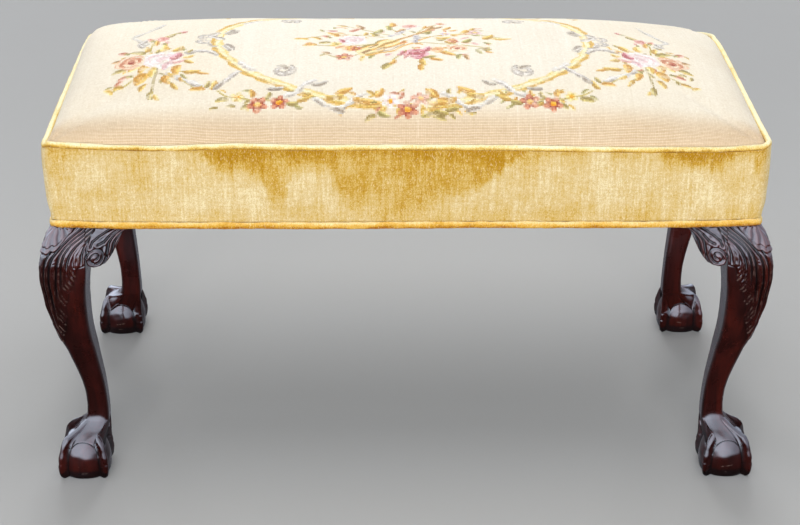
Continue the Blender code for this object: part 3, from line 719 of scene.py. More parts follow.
def bracket_mesh(along_x):
    """Bracket as (along, across, z): along is inwards from the post, across is the offset."""
    z = np.concatenate([np.arange(0.3667, 0.3182, -0.00075), np.arange(0.3178, 0.3130, -0.0004), [0.3130]])
    t0 = curve(BRACKET[:, 0], BRACKET[:, 1], z)[:, None]
    t1 = curve(BRACKET[:, 0], BRACKET[:, 2], z)[:, None]
    n = 84
    f = np.linspace(0, 1, n)[None, :]
    t = t0 + (t1 - t0) * f
    o = leg_row(1, z)[:, None]
    knee = o + (forward(z)[:, None] if along_x else 0.0)
    k = ease(0.0, 1.0, t / 0.0640)
    front = knee * (1 - k) + (RAIL_OUT - 0.0003) * k
    s = (t - POST_IN + o) * 1000
    depth = carve(s, np.repeat(z[:, None] * 1000, n, 1))
    # rounded over at the free edges
    edge = np.minimum((t1 - t), np.where(z[:, None] < 0.3235, t - t0, 1.0))
    over = np.clip(1 - edge / 0.0034, 0, 1)
    bottom = np.clip(1 - (z[:, None] - 0.3130) / 0.0040, 0, 1)
    front = front + depth / 1000 - 0.0042 * (1 - np.sqrt(1 - over ** 2 * 0.98)) - 0.0030 * bottom ** 2
    back = np.full((len(z), 10), RAIL_OUT - 0.0240)
    tb = t1 + (t0 - t1) * np.linspace(0, 1, 10)[None, :]
    m = 5
    g = np.linspace(0, 1, m + 2)[None, 1:-1]
    out_a = front[:, -1:] + (back[:, :1] - front[:, -1:]) * g
    out_t = np.repeat(t1, m, 1) + 0.0006 * np.sin(g * math.pi)
    in_a = back[:, -1:] + (front[:, :1] - back[:, -1:]) * g
    in_t = np.repeat(t0, m, 1)
    T = np.concatenate([t, out_t, tb, in_t], 1)
    A = np.concatenate([front, out_a, back, in_a], 1)
    Zr = np.repeat(z[:, None], T.shape[1], 1)
    shade = np.concatenate([depth, np.zeros((len(z), 2 * m + 10))], 1)
    shift = forward(Zr) * (0.0 if along_x else 1.0)
    verts = np.stack([POST_IN - T + shift, A, Zr], -1).reshape(-1, 3)
    rows, cols = T.shape
    quads = grid_faces(rows, cols, wrap_cols=True)
    caps = []
    for first in (0, (rows - 1) * cols):
        ring = verts[first:first + cols]
        verts = np.concatenate([verts, [ring.mean(0)]])
        q = np.arange(cols)
        tri = np.stack([np.full(cols, len(verts) - 1), first + q, first + (q + 1) % cols], -1)
        caps.append(tri if first else tri[:, ::-1])
    # painted highlight lines on the carving
    light = np.concatenate([painted_glints(s, np.repeat(z[:, None] * 1000, n, 1)), np.zeros((len(z), 2 * m + 10))], 1)
    return verts, [quads, np.concatenate(caps)], *(np.concatenate([q.ravel(), [0, 0]]) for q in (shade, light))


for along_x, tag in ((True, "long"), (False, "end")):
    bv, bf, bs, br = bracket_mesh(along_x)
    for side, sx, sy in SIDES:
        if along_x:
            v = np.stack([sx * (HALF_X + bv[:, 0]), sy * (HALF_Y + bv[:, 1]), bv[:, 2]], -1)
        else:
            v = np.stack([sx * (HALF_X + bv[:, 1]), sy * (HALF_Y + bv[:, 0]), bv[:, 2]], -1)
        name = "%s_%s" % (side, tag)
        ob = build("carved_bracket_" + name, v, outward(v, bf), [MAHOGANY])
        wood_values(ob, bs, br)
        place(ob, "mahogany", "knee_bracket_" + name)


# ================================================================ soft pieces: shared outline
COVER_EDGE, COVER_Z, RISE = -0.0073, 0.4706, 0.0652
BOX_Z, BOX_OUT, BOX_THICK = (0.3712, 0.4480, 0.4690), (-0.0045, -0.0020, -0.0022), 0.0020
WELT_R, WELT_Z, WELT_OUT = 0.0038, 0.4718, -0.0035
TRIM_Z, TRIM_OUT = 0.36655, -0.0047


def outline(n, out=0.0):
    """Points and outward normals round the seat, starting at the middle of the front."""
    r = CORNER_R
    ax, ay = HALF_X - r, HALF_Y - r
    q = r * math.pi / 2
    parts = (ax, q, 2 * ay, q, 2 * ax, q, 2 * ay, q, ax)
    stop = np.cumsum(parts)
    s = np.arange(n) / n * stop[-1]
    k = np.searchsorted(stop, s, side="right")
    t = s - np.concatenate([[0], stop])[k]
    p, m = np.empty((n, 2)), np.empty((n, 2))
    runs = {0: ((0, -HALF_Y), (1, 0), (0, -1)), 2: ((HALF_X, -ay), (0, 1), (1, 0)),
            4: ((ax, HALF_Y), (-1, 0), (0, 1)), 6: ((-HALF_X, ay), (0, -1), (-1, 0)),
            8: ((-ax, -HALF_Y), (1, 0), (0, -1))}
    arcs = {1: ((ax, -ay), -90), 3: ((ax, ay), 0), 5: ((-ax, ay), 90), 7: ((-ax, -ay), 180)}
    for j in range(9):
        w = k == j
        if j in runs:
            o, d, nn = (np.asarray(v, float) for v in runs[j])
            p[w], m[w] = o + t[w, None] * d, nn
        else:
            o, a0 = arcs[j]
            a = math.radians(a0) + t[w] / r
            m[w] = np.stack([np.cos(a), np.sin(a)], -1)
            p[w] = np.asarray(o) + r * m[w]
    return p + out * m, m, s


ripple = Noise(21)


def back_corner(x, y, reach):
    """How near a point in plan is to a back corner of the seat, from 0 to 1."""
    return bell(np.hypot(np.maximum(HALF_X - 0.012 - np.abs(x), 0), np.maximum(HALF_Y - 0.012 - y, 0)), reach)


def corner_sink(x, y):
    """The top seam is drawn down at the back corners, more on the right."""
    return -back_corner(x, y, 0.040) * np.where(np.asarray(x) > 0, 0.0052, 0.0040)


def welt_wave(p, m, s):
    """Uneven height of the top seam, in metres: measured along the front, loose elsewhere."""
    front = curve((-457, -375, -311, -231, -216, -144, -104, -24, 121, 201, 311, 391, 436, 457),
                  WELT_FRONT, p[:, 0] * 1000) / 1000
    on = ease(0.5, 0.95, -m[:, 1])
    loose = 0.0011 * ripple(s * 9.0, 0.5) + 0.0004 * ripple(s * 41.0, 3.5)
    return mix(loose, front + 0.0002 * ripple(s * 55.0, 7.5), on) + corner_sink(p[:, 0], p[:, 1])


def trim_wave(p, m, s):
    front = curve((-457, -358, -120, 88, 278, 391, 439, 457), TRIM_FRONT, p[:, 0] * 1000) / 1000
    on = ease(0.5, 0.95, -m[:, 1])
    loose = 0.0005 * ripple(s * 7.0, 12.5) + 0.0002 * ripple(s * 60.0, 9.5)
    return mix(loose, front + 0.0002 * ripple(s * 70.0, 17.5), on)


# ================================================================ needlepoint chart
OCHRE = ((148, 98, 26), (205, 150, 48), (242, 205, 98))
AMBER = ((170, 96, 22), (216, 146, 44), (246, 196, 92))
YELLOW = ((205, 150, 50), (240, 205, 92), (251, 233, 162))
OLIVE = ((92, 84, 40), (150, 132, 50), (204, 184, 96))
GREEN = ((86, 92, 42), (140, 142, 62), (206, 200, 122))
GREY = ((104, 106, 112), (160, 160, 166), (226, 224, 222))
ROSE = ((158, 62, 56), (216, 124, 112), (243, 196, 188))
PINK = ((206, 128, 138), (238, 190, 190), (252, 232, 230))
WHITE = ((224, 188, 200), (244, 228, 232), (255, 252, 250))
MAGENTA = ((132, 24, 66), (184, 58, 110), (236, 172, 196))
ORANGE = ((186, 78, 38), (226, 132, 62), (247, 196, 130))
BROWN = ((104, 62, 34), (168, 108, 62), (214, 160, 108))
BLUE = ((128, 134, 158), (168, 172, 192), (216, 218, 226))


FADE = np.asarray((0.52, 0.60, 0.72))


def fast(*tones):
    """Dyes that have not faded: they come out as given."""
    return tuple(tuple(250 - (250 - np.asarray(t, float)) / FADE) for t in tones)


RED = fast((166, 80, 67), (198, 118, 96), (224, 160, 130))
GOLD_EYE = fast((236, 156, 40), (250, 200, 76), (252, 228, 150))


class Chart:
    """A needlepoint chart: one colour for each stitch, drawn with simple leaf, flower and ribbon shapes."""

    def __init__(self, x, y, ground):
        self.x, self.y = x, y
        self.c = ground.copy()
        self.xs, self.ys = np.maximum.accumulate(x[len(x) // 2]), np.maximum.accumulate(y[:, x.shape[1] // 2])
        self.face(1, 1)

    def face(self, sx, sy, dx=0.0, dy=0.0):
        """Mirror and shift what is drawn next."""
        self.sx, self.sy, self.dx, self.dy = sx, sy, dx, dy

    def near(self, x0, x1, y0, y1):
        """Work only on the stitches round a shape."""
        x0, x1 = sorted(((x0 + self.dx) * self.sx, (x1 + self.dx) * self.sx))
        y0, y1 = sorted(((y0 + self.dy) * self.sy, (y1 + self.dy) * self.sy))
        i = np.searchsorted(self.xs, (x0 - 8, x1 + 8))
        j = np.searchsorted(self.ys, (y0 - 8, y1 + 8))
        cut = slice(j[0], max(j[1], j[0] + 1)), slice(i[0], max(i[1], i[0] + 1))
        self.px, self.py, self.v = self.x[cut] * self.sx - self.dx, self.y[cut] * self.sy - self.dy, self.c[cut]

    def along(self, pts, wide):
        p = np.asarray(pts)
        self.near(p[:, 0].min() - wide, p[:, 0].max() + wide, p[:, 1].min() - wide, p[:, 1].max() + wide)

    def lay(self, mask, tone):
        """Wool faded by light: every dye is paler than it was, the blue part of it least."""
        self.v[mask] = 250 - (250 - np.asarray(tone, float)) * FADE

    def line(self, pts, wide, tone, taper=False):
        pts = smooth(pts)
        self.along(pts, wide)
        d, t = to_line(self.px, self.py, pts)
        w = wide / 2 * (1 - 0.85 * t if taper else 1.0)
        self.lay(d < w, tone)

    def leaf(self, cx, cy, turn, size, wide, tones, bend=0.15):
        a = math.radians(turn)
        self.near(cx - size, cx + size, cy - size, cy + size)
        dx, dy = self.px - cx, self.py - cy
        u = (dx * math.cos(a) + dy * math.sin(a)) / size + 0.5
        w = -dx * math.sin(a) + dy * math.cos(a)
        w = w - bend * size * (u - 0.5) ** 2 * 2
        half = wide / 2 * np.sqrt(np.clip(np.sin(np.pi * np.clip(u, 0, 1) ** 0.75), 0, 1))
        inside = (u > 0) & (u < 1) & (np.abs(w) < half)
        self.lay(inside, tones[1])
        self.lay(inside & (w < -0.32 * half), tones[0])
        self.lay(inside & (w > 0.30 * half) & (u > 0.25), tones[2])
        self.lay(inside & (np.abs(w) < 1.1) & (u < 0.72), tones[0])

    def flower(self, cx, cy, r, tones, eye, n=5, turn=0.0):
        self.near(cx - r, cx + r, cy - r, cy + r)
        dx, dy = self.px - cx, self.py - cy
        d, a = np.hypot(dx, dy), np.arctan2(dy, dx) + turn
        lobe = np.abs(np.cos(a * n / 2))
        edge = r * (0.5 + 0.5 * lobe)
        self.lay(d < edge, tones[1])
        self.lay((d < edge) & (lobe < 0.5), tones[0])
        self.lay((d < edge) & (lobe > 0.8) & (d > 0.5 * r), tones[2])
        self.lay(d < 0.3 * r, eye[1])
        self.lay((d < 0.3 * r) & (dy < 0), eye[0])

    def rose(self, cx, cy, r, tones, turn=0.0, heart=None):
        self.near(cx - r, cx + r, cy - r, cy + r)
        dx, dy = self.px - cx, self.py - cy
        d, a = np.hypot(dx, dy), np.arctan2(dy, dx) + turn
        for k, (size, n, tone) in enumerate(((1.0, 5, 2), (0.74, 4, 1), (0.56, 3, 2), (0.36, 3, 1), (0.2, 2, 0))):
            edge = r * size * (0.82 + 0.18 * np.abs(np.cos((a + 0.8 * k) * n / 2)))
            inside = d < edge
            self.lay(inside, tones[tone])
            shade = inside & (np.cos(a * 2 + k * 1.7) < -0.35) & (d > edge - 0.2 * r)
            self.lay(shade, tones[max(tone - 1, 0)])
            self.lay(inside & (d > edge - 0.09 * r) & (np.cos(a - 1.0 + k) < 0.2), tones[0 if k else 1])
        if heart:
            self.lay(d < 0.24 * r, heart[0])
            self.lay((d < 0.24 * r) & (dy > 0), heart[1])

    def bud(self, cx, cy, turn, size, tones):
        self.leaf(cx, cy, turn, size, size * 0.62, tones, 0.0)
        a = math.radians(turn)
        bx, by = cx - 0.45 * size * math.cos(a), cy - 0.45 * size * math.sin(a)
        self.leaf(bx, by, turn + 28, size * 0.62, size * 0.26, OLIVE)
        self.leaf(bx, by, turn - 28, size * 0.62, size * 0.26, GREEN)

    def ribbon(self, pts, wide, tones, lift=0.26):
        pts = smooth(pts)
        self.along(pts, wide)
        d, t = to_line(self.px, self.py, pts)
        w = wide / 2 * (0.55 + 0.45 * np.abs(np.sin(t * 9.0 + 0.9)))
        self.lay(d < w, tones[1])
        up, _ = to_line(self.px, self.py - lift * wide, pts)
        self.lay((d < w) & (up < 0.45 * w), tones[2])
        down, _ = to_line(self.px, self.py + lift * wide * 1.3, pts)
        self.lay((d < w) & (down < 0.34 * w) & (np.sin(t * 17.0) > -0.3), tones[0])

    def curl(self, cx, cy, r, turn, tones, hand=1):
        """Curled scroll leaf: a hook that thickens towards its rolled end."""
        a = np.linspace(0, 1, 16)
        rad = r * (1.15 - 0.75 * a)
        ang = math.radians(turn) + hand * a * 4.6
        pts = np.stack([cx + rad * np.cos(ang), cy + rad * np.sin(ang)], -1)
        self.along(pts, r)
        d, t = to_line(self.px, self.py, pts)
        w = r * (0.24 + 0.26 * np.sin(np.pi * np.clip(t * 1.1, 0, 1)))
        self.lay(d < w, tones[1])
        self.lay((d < w) & (d < 0.45 * w) & (np.sin(t * 22) > 0), tones[2])
        self.lay((d < w) & (d > 0.62 * w) & (np.sin(t * 30) > -0.4), tones[0])

    def rod(self, a, b, half, part):
        """Bound rod on an ellipse; part(angle) says where it shows."""
        self.near(-a - half, a + half, -b - half, b + half)
        x, y = self.px, self.py
        rho = np.hypot(x / a, y / b)
        d = (rho - 1) * rho / np.maximum(np.hypot(x / a ** 2, y / b ** 2), 1e-9)
        ang = np.degrees(np.arctan2(y / b, x / a))
        twist = np.sin(np.radians(ang) * 46.0 + d * 0.55)
        on = (np.abs(d) < half * (0.86 + 0.14 * twist)) & part(ang)
        self.lay(on, (234, 196, 84))
        self.lay(on & (d > 0.36 * half), (196, 138, 38))
        self.lay(on & (d > 0.78 * half), (218, 166, 70))
        self.lay(on & (np.abs(d + 0.16 * half) < 0.34 * half), (249, 232, 168))
        self.lay(on & (d < -0.62 * half), (240, 208, 122))
        self.lay(on & (d < -0.80 * half) & (twist < 0.0), (196, 150, 62))
        self.lay(on & (np.abs(d + 0.2 * half) < 0.34 * half) & (twist > 0.6), (252, 244, 208))
        self.lay(on & (np.abs(d - 0.34 * half) < 0.18 * half) & (twist < -0.55), (176, 122, 60))

    def sprigs(self, rng, count, box, centre, sizes, kinds):
        """Small loose leaves scattered over a part of the drawing, pointing away from its centre."""
        for _ in range(count):
            x, y = rng.uniform(box[0], box[1]), rng.uniform(box[2], box[3])
            turn = math.degrees(math.atan2(y - centre[1], x - centre[0])) + rng.normal(0, 38)
            size = rng.uniform(*sizes)
            self.leaf(x, y, turn, size, size * rng.uniform(0.32, 0.52), kinds[rng.integers(len(kinds))])


def smooth(pts, n=10):
    p = np.asarray(pts, float)
    p = np.concatenate([[2 * p[0] - p[1]], p, [2 * p[-1] - p[-2]]])
    t = np.linspace(0, 1, n, endpoint=False)[:, None]
    out = []
    for k in range(1, len(p) - 2):
        a, b, c, d = p[k - 1], p[k], p[k + 1], p[k + 2]
        out.append(0.5 * (2 * b + (c - a) * t + (2 * a - 5 * b + 4 * c - d) * t ** 2
                          + (3 * b - a - 3 * c + d) * t ** 3))
    return np.concatenate(out + [p[-2:-1]])


def draw_garland(ch, sx, sy, rng):
    """A quarter of the oval: bound rod, ribbon wraps, scroll leaves and the flower vine."""
    ch.face(sx, sy)
    ch.rod(251 if sx > 0 else 245, 177, 8.8, lambda a: (a < -96) | (a > 172))
    if sx < 0:
        ch.face(sx, sy, 5.0)
    ch.sprigs(rng, 16, (-250, -120, -178, -146), (-190, -160), (8, 14), (YELLOW, OCHRE, OLIVE, AMBER, GREEN))
    ch.sprigs(rng, 12, (-95, -20, -194, -150), (-60, -172), (8, 14), (YELLOW, OCHRE, OLIVE, AMBER))
    # grey scrolls beside the rod
    ch.curl(-268, 8, 8, 60, GREY)
    ch.leaf(-231, 30, 62, 26, 9, GREY)
    ch.leaf(-236, -32, 118, 26, 9, GREY)
    ch.curl(-160, -100, 13, 40, GREY, -1)
    ch.leaf(-160, -92, 150, 17, 9, ((84, 86, 92), (126, 128, 134), (190, 190, 192)))
    ch.leaf(-167, -145, 8, 22, 9, ((88, 90, 96), (140, 142, 148), (206, 206, 206)))
    ch.leaf(-110, -134, 30, 22, 9, ((92, 94, 100), (146, 148, 152), (210, 210, 210)))
    # ribbon wraps
    ch.ribbon([(-247, -2), (-260, -14), (-252, -26)], 13, GREY)
    ch.ribbon([(-215, -80), (-209, -89), (-197, -98)], 12, ((170, 166, 166), (214, 210, 206), (246, 242, 236)))
    ch.ribbon([(-153, -158), (-140, -150), (-130, -136), (-118, -126)], 10, ((140, 140, 146), (206, 205, 205), (248, 246, 242)))
    ch.ribbon([(-116, -164), (-100, -176), (-84, -180), (-70, -168), (-52, -154)], 10, ((120, 122, 128), (190, 190, 192), (246, 244, 240)))
    ch.leaf(-88, -182, 170, 20, 8, ((96, 98, 104), (140, 142, 148), (200, 200, 200)))
    # ochre leaves that grow from the rod
    ch.leaf(-80, -150, 30, 26, 11, AMBER)
    ch.leaf(-92, -160, 8, 24, 9, OCHRE)
    ch.leaf(-50, -170, -12, 40, 11, AMBER)
    ch.leaf(-34, -154, 60, 20, 9, AMBER)
    # flower vine outside the rod
    ch.line([(-241, -146), (-232, -156), (-205, -163), (-175, -165), (-145, -170), (-118, -160)], 2.6, OLIVE[1])
    ch.leaf(-235, -164, 200, 19, 9, OLIVE)
    ch.flower(-215, -159, 9, YELLOW, GOLD_EYE)
    ch.leaf(-205, -175, 215, 14, 7, OLIVE)
    ch.leaf(-196, -152, 95, 16, 8, AMBER)
    ch.flower(-189, -172, 13.5, RED, GOLD_EYE, 5, 0.4)
    ch.leaf(-176, -158, 70, 14, 7, OLIVE)
    ch.flower(-161, -169, 12.5, RED, GOLD_EYE, 5, 1.1)
    ch.leaf(-143, -172, 15, 18, 7, OLIVE)
    ch.leaf(-129, -165, 24, 17, 8, OCHRE)
    ch.leaf(-136, -177, -30, 13, 5, GREEN)
    ch.leaf(-47, -192, 205, 17, 7, OLIVE)
    ch.leaf(-30, -189, -20, 18, 7, GREEN)
    ch.leaf(-246, -133, 75, 20, 8, OCHRE)


def draw_middle(ch, sy, rng):
    """Flowers at the middle of the oval's front and back."""
    ch.face(1, sy)
    ch.sprigs(rng, 14, (-48, 62, -194, -150), (0, -170), (8, 14), (YELLOW, OCHRE, OLIVE, ROSE))
    for cx, cy, turn in ((36, -153, 120), (46, -165, 170), (30, -188, 200), (44, -187, -15), (58, -182, 20)):
        ch.leaf(cx, cy, turn, 19, 8, OLIVE if cy < -170 else AMBER)
    ch.flower(-21, -168, 13, WHITE, GOLD_EYE, 5, 0.2)
    ch.flower(1, -181, 14, RED, GOLD_EYE, 6, 0.5)
    ch.flower(17, -164, 12, ((140, 40, 46), (196, 74, 70), (232, 140, 126)), GOLD_EYE, 5, 0.9)
    ch.leaf(-6, -158, 80, 14, 7, ROSE)


def draw_spray(ch, sx, rng):
    """Rose spray beside the oval, with its hanging stems and bow."""
    ch.face(sx, 1, 8.0 if sx < 0 else 0.0, 12.0 if sx < 0 else 0.0)
    # ribbons first, so that flowers lie over them
    ch.ribbon([(-344, -12), (-356, 4), (-362, 18), (-350, 36), (-336, 60), (-330, 74)], 9, ((150, 152, 150), (186, 186, 186), (224, 224, 220)))
    ch.ribbon([(-348, -18), (-352, -8), (-346, 2)], 10, GREY)
    ch.ribbon([(-306, -106), (-288, -120), (-264, -134)], 12, ((140, 140, 146), (194, 194, 198), (238, 236, 234)))
    ch.ribbon([(-243, -138), (-230, -122), (-216, -102)], 9, ((104, 106, 114), (168, 168, 174), (226, 222, 222)))
    ch.leaf(-240, -134, 60, 22, 9, ((96, 98, 106), (130, 132, 140), (186, 186, 190)))
    ch.ribbon([(-286, -48), (-270, -42), (-256, -46), (-249, -56)], 11, GREY)
    # stems
    ch.line([(-327, -43), (-322, -90), (-325, -143), (-322, -160)], 2.4, OLIVE[0])
    ch.line([(-318, -100), (-306, -120), (-297, -138)], 2.2, OLIVE[0])
    ch.line([(-340, -100), (-360, -122), (-378, -133)], 2.0, OLIVE[1])
    ch.line([(-335, -45), (-335, -10), (-328, 8), (-306, 28)], 2.2, OLIVE[1])
    ch.line([(-298, -100), (-280, -103), (-262, -110)], 2.0, OLIVE[1])
    ch.line([(-290, -118), (-270, -140), (-262, -134)], 2.0, OLIVE[1])
    # leaves
    ch.sprigs(rng, 34, (-385, -270, -128, -16), (-332, -66), (8, 15), (YELLOW, OCHRE, YELLOW, OLIVE, AMBER, ROSE, GREEN))
    for cx, cy, turn, size, wide, tone in (
            (-343, -110, 250, 26, 16, AMBER), (-298, -98, 268, 26, 13, AMBER), (-309, -121, 290, 22, 11, AMBER),
            (-297, -137, 300, 18, 8, OCHRE), (-338, -133, 250, 20, 9, OCHRE), (-326, -152, 265, 18, 8, OLIVE),
            (-318, -158, 300, 12, 6, YELLOW), (-370, -126, 200, 16, 7, OCHRE), (-382, -132, 150, 14, 7, YELLOW),
            (-374, -86, 200, 20, 10, OLIVE), (-355, -84, 230, 20, 11, YELLOW), (-343, -88, 250, 22, 12, AMBER),
            (-328, -96, 262, 20, 10, YELLOW), (-276, -103, 10, 24, 9, OCHRE), (-262, -107, -18, 16, 7, AMBER),
            (-268, -140, 190, 20, 9, AMBER), (-254, -132, 60, 14, 6, OLIVE), (-284, -60, 40, 16, 8, YELLOW),
            (-283, -76, -30, 16, 8, OCHRE), (-352, -38, 150, 26, 11, OLIVE), (-340, -30, 95, 20, 8, OCHRE),
            (-318, -30, 85, 22, 11, YELLOW), (-298, -34, 60, 22, 11, OCHRE), (-313, 16, 55, 18, 10, OLIVE),
            (-330, -10, 100, 20, 6, AMBER), (-378, -56, 170, 18, 9, BROWN)):
        ch.leaf(cx, cy, turn, size, wide, tone)
    # roses
    ch.rose(-360, -66, 21, ((172, 74, 62), (226, 160, 132), (248, 222, 196)), 0.4, RED)
    ch.rose(-319, -66, 25, WHITE, 1.3)
    ch.leaf(-300, -58, 70, 26, 12, MAGENTA)
    ch.leaf(-296, -74, 30, 20, 9, PINK)
    ch.leaf(-312, -84, 250, 20, 9, ((206, 150, 172), (232, 196, 210), (252, 240, 242)))
    # buds
    ch.bud(-364, -108, 205, 17, ROSE)
    ch.bud(-374, -31, 150, 15, ROSE)
    ch.bud(-341, 3, 120, 13, ROSE)
    ch.bud(-300, 32, 50, 13, ((160, 66, 78), (206, 120, 130), (240, 190, 194)))
    ch.bud(-318, -10, 80, 12, PINK)
    ch.rose(-325, 4, 10, ((166, 52, 70), (214, 116, 126), (246, 200, 200)), 0.7)


def draw_bouquet(ch, rng):
    """Flowers heaped round a fiddle and its bow, in the middle of the oval."""
    ch.face(1, 1)
    for pts in ([(-20, -10), (-70, -25), (-125, -24)], [(-30, 10), (-80, 20), (-140, 0)], [(-20, 20), (-60, 50), (-88, 70)],
                [(0, 20), (-20, 60), (-16, 84)], [(10, 20), (30, 60), (52, 84)], [(20, 10), (80, 25), (118, 10), (140, 2)],
                [(20, -10), (70, -20), (112, -36)], [(10, -30), (20, -70), (22, -98)], [(0, -40), (-24, -90)],
                [(40, -30), (72, -62)], [(-30, -30), (-80, -64), (-106, -54)]):
        ch.line(pts, 2.0, OLIVE[1])
    ch.sprigs(rng, 60, (-112, 112, -58, 62), (0, 0), (9, 16), (YELLOW, OCHRE, YELLOW, OLIVE, AMBER, GREEN, ROSE, PINK, ORANGE))
    leaves = (
        (-127, -22, 190, 20, 9, OCHRE), (-139, 0, 175, 20, 8, YELLOW), (-107, -14, 200, 18, 9, OLIVE), (-118, 4, 150, 18, 8, OCHRE),
        (-91, -18, 60, 20, 11, YELLOW), (-106, -54, 210, 14, 6, OLIVE), (-104, -50, 150, 12, 6, BROWN), (-85, 68, 150, 18, 9, OCHRE),
        (-60, 62, 100, 28, 9, BROWN), (-66, 44, 60, 22, 9, ROSE), (-15, 78, 85, 30, 9, AMBER), (-20, 58, 100, 22, 9, GREEN),
        (-34, 40, 70, 24, 9, GREEN), (-40, 24, 120, 18, 8, OLIVE), (113, 10, 60, 24, 11, OCHRE), (129, 2, 0, 26, 8, YELLOW),
        (82, 34, 80, 22, 12, AMBER), (70, 22, 20, 18, 8, YELLOW), (58, 54, 60, 20, 8, AMBER), (36, 58, 75, 26, 9, BROWN),
        (30, 34, 40, 22, 8, OLIVE), (-26, -90, 245, 22, 11, OLIVE), (-16, -78, 60, 18, 7, AMBER), (22, -78, 285, 22, 10, OCHRE),
        (19, -93, 265, 18, 8, AMBER), (30, -62, 10, 20, 10, OLIVE), (40, -72, -25, 18, 8, AMBER), (55, -52, 320, 26, 10, AMBER),
        (69, -62, 250, 20, 7, GREEN), (80, -65, 285, 16, 7, BROWN), (104, -35, 20, 18, 6, OLIVE), (96, -46, 300, 18, 7, GREEN),
        (-58, -68, 260, 18, 7, YELLOW), (-45, -62, 240, 14, 6, GREEN), (-95, 22, 130, 24, 11, AMBER), (-112, 38, 120, 14, 5, GREEN),
        (84, -6, 50, 20, 9, GREEN), (52, 8, 10, 22, 9, YELLOW), (60, -12, 330, 18, 8, OCHRE), (-52, 26, 80, 16, 7, OCHRE),
        (-5, 44, 60, 22, 8, BROWN), (92, 48, 70, 16, 7, OCHRE), (-78, 12, 100, 16, 8, ORANGE))
    for row in leaves:
        ch.leaf(*row)
    # fiddle: two rounded bouts on a slanted axis, drawn as rings, then neck, strings and bow
    a = math.radians(47)
    ch.near(-90, 30, -80, 30)
    u = (ch.px + 36) * math.cos(a) + (ch.py + 28) * math.sin(a)
    w = -(ch.px + 36) * math.sin(a) + (ch.py + 28) * math.cos(a)
    half = 17.5 - 5.5 * bell(u - 4, 8) - 4.0 * ease(8, 36, u)
    body = (np.abs(u) < 37) & (np.abs(w) < half * np.sqrt(np.clip(1 - (u / 37) ** 4, 0, 1)))
    ch.lay(body, (250, 226, 160))
    ch.lay(body & (np.abs(w) > half * 0.62), AMBER[1])
    ch.lay(body & (w > half * 0.80), OLIVE[0])
    ch.lay(body & (w < -half * 0.84), BROWN[1])
    ch.lay(body & (np.abs(np.abs(w) - 6.5) < 1.5) & (np.abs(u + 2) < 9), BROWN[0])
    ch.lay(body & (np.abs(u + 22) < 8) & (np.abs(w) < 2.6), BROWN[0])
    ch.line([(-44, -38), (0, 10), (42, 56)], 5.5, AMBER[1])
    ch.line([(-40, -33), (0, 11), (40, 55)], 1.8, BROWN[0])
    ch.line([(-4, 5), (12, 22), (44, 58)], 3.0, BROWN[1])
    ch.leaf(46, 60, 50, 16, 8, BROWN)
    ch.line([(-52, -56), (-20, -44), (0, -22), (34, 14)], 3.4, AMBER[1])
    ch.line([(-54, -53), (-22, -40), (-2, -18)], 1.6, BROWN[0])
    # ribbon bits
    ch.ribbon([(-20, 16), (-10, 26), (-4, 40)], 9, BLUE)
    ch.ribbon([(12, -6), (16, 6), (14, 20)], 11, BLUE)
    ch.ribbon([(4, 52), (10, 62), (22, 70)], 7, ((190, 186, 190), (222, 218, 222), (246, 242, 244)))
    # flowers
    ch.rose(-70, -2, 20, WHITE, 0.6)
    ch.leaf(-84, -4, 120, 14, 8, MAGENTA)
    ch.rose(14, -52, 17, MAGENTA, 0.2, ((130, 16, 52), (170, 30, 76)))
    ch.leaf(28, -36, 60, 22, 10, MAGENTA)
    ch.leaf(-6, -50, 70, 18, 8, MAGENTA)
    ch.leaf(2, -62, 250, 16, 8, PINK)
    ch.rose(69, -34, 15, ((206, 110, 78), (244, 200, 160), (252, 232, 206)), 1.0, RED)
    ch.rose(42, -38, 11, ((196, 96, 60), (236, 168, 110), (250, 216, 170)), 0.3)
    ch.flower(-74, -33, 11, ORANGE, YELLOW, 5, 0.3)
    ch.flower(-81, -62, 12, RED, YELLOW, 5, 1.0)
    ch.flower(-66, -34, 8, RED, AMBER, 5, 0.6)
    ch.flower(-91, -18, 8, YELLOW, OLIVE, 5, 0.2)
    ch.flower(-127, -20, 7, ORANGE, YELLOW, 4, 0.2)
    ch.flower(94, 30, 11, ((170, 96, 120), (214, 160, 176), (244, 220, 226)), YELLOW, 5, 0.4)
    ch.rose(7, 68, 11, ((186, 70, 78), (230, 150, 150), (250, 214, 210)), 0.9)
    ch.flower(50, 80, 9, ROSE, AMBER, 5, 0.1)
    ch.flower(64, -2, 9, ROSE, YELLOW, 5, 0.9)
    ch.flower(53, 26, 8, ((176, 140, 176), (212, 186, 208), (240, 228, 238)), YELLOW, 5, 0.5)
    ch.flower(66, -8, 6, RED, YELLOW, 5, 0.5)
    ch.bud(-106, 10, 150, 12, ROSE)
    ch.bud(105, -36, 10, 12, ((96, 74, 66), (150, 116, 100), (206, 180, 160)))


# ================================================================ needlepoint cover
FX, FY, STEP = 432, 216, 8
EDGE_X, EDGE_Y, EDGE_R = HALF_X + COVER_EDGE, HALF_Y + COVER_EDGE, CORNER_R + COVER_EDGE


def crown_x(x, y=0.0):
    """Cross profile: well filled at the left, most of all behind, sat down at the right."""
    u = np.clip(np.abs(x) / EDGE_X, 0, 1)
    p = np.where(np.asarray(x) < 0, 8.5 + 13.0 * ease(-0.04, 0.12, y), 4.5)
    return np.sqrt(np.clip(1 - u ** p, 0, 1))


def crown_y(y):
    v = np.clip(np.abs(y) / EDGE_Y, 0, 1)
    return np.clip(1 - v * v, 0, 1) ** 0.55


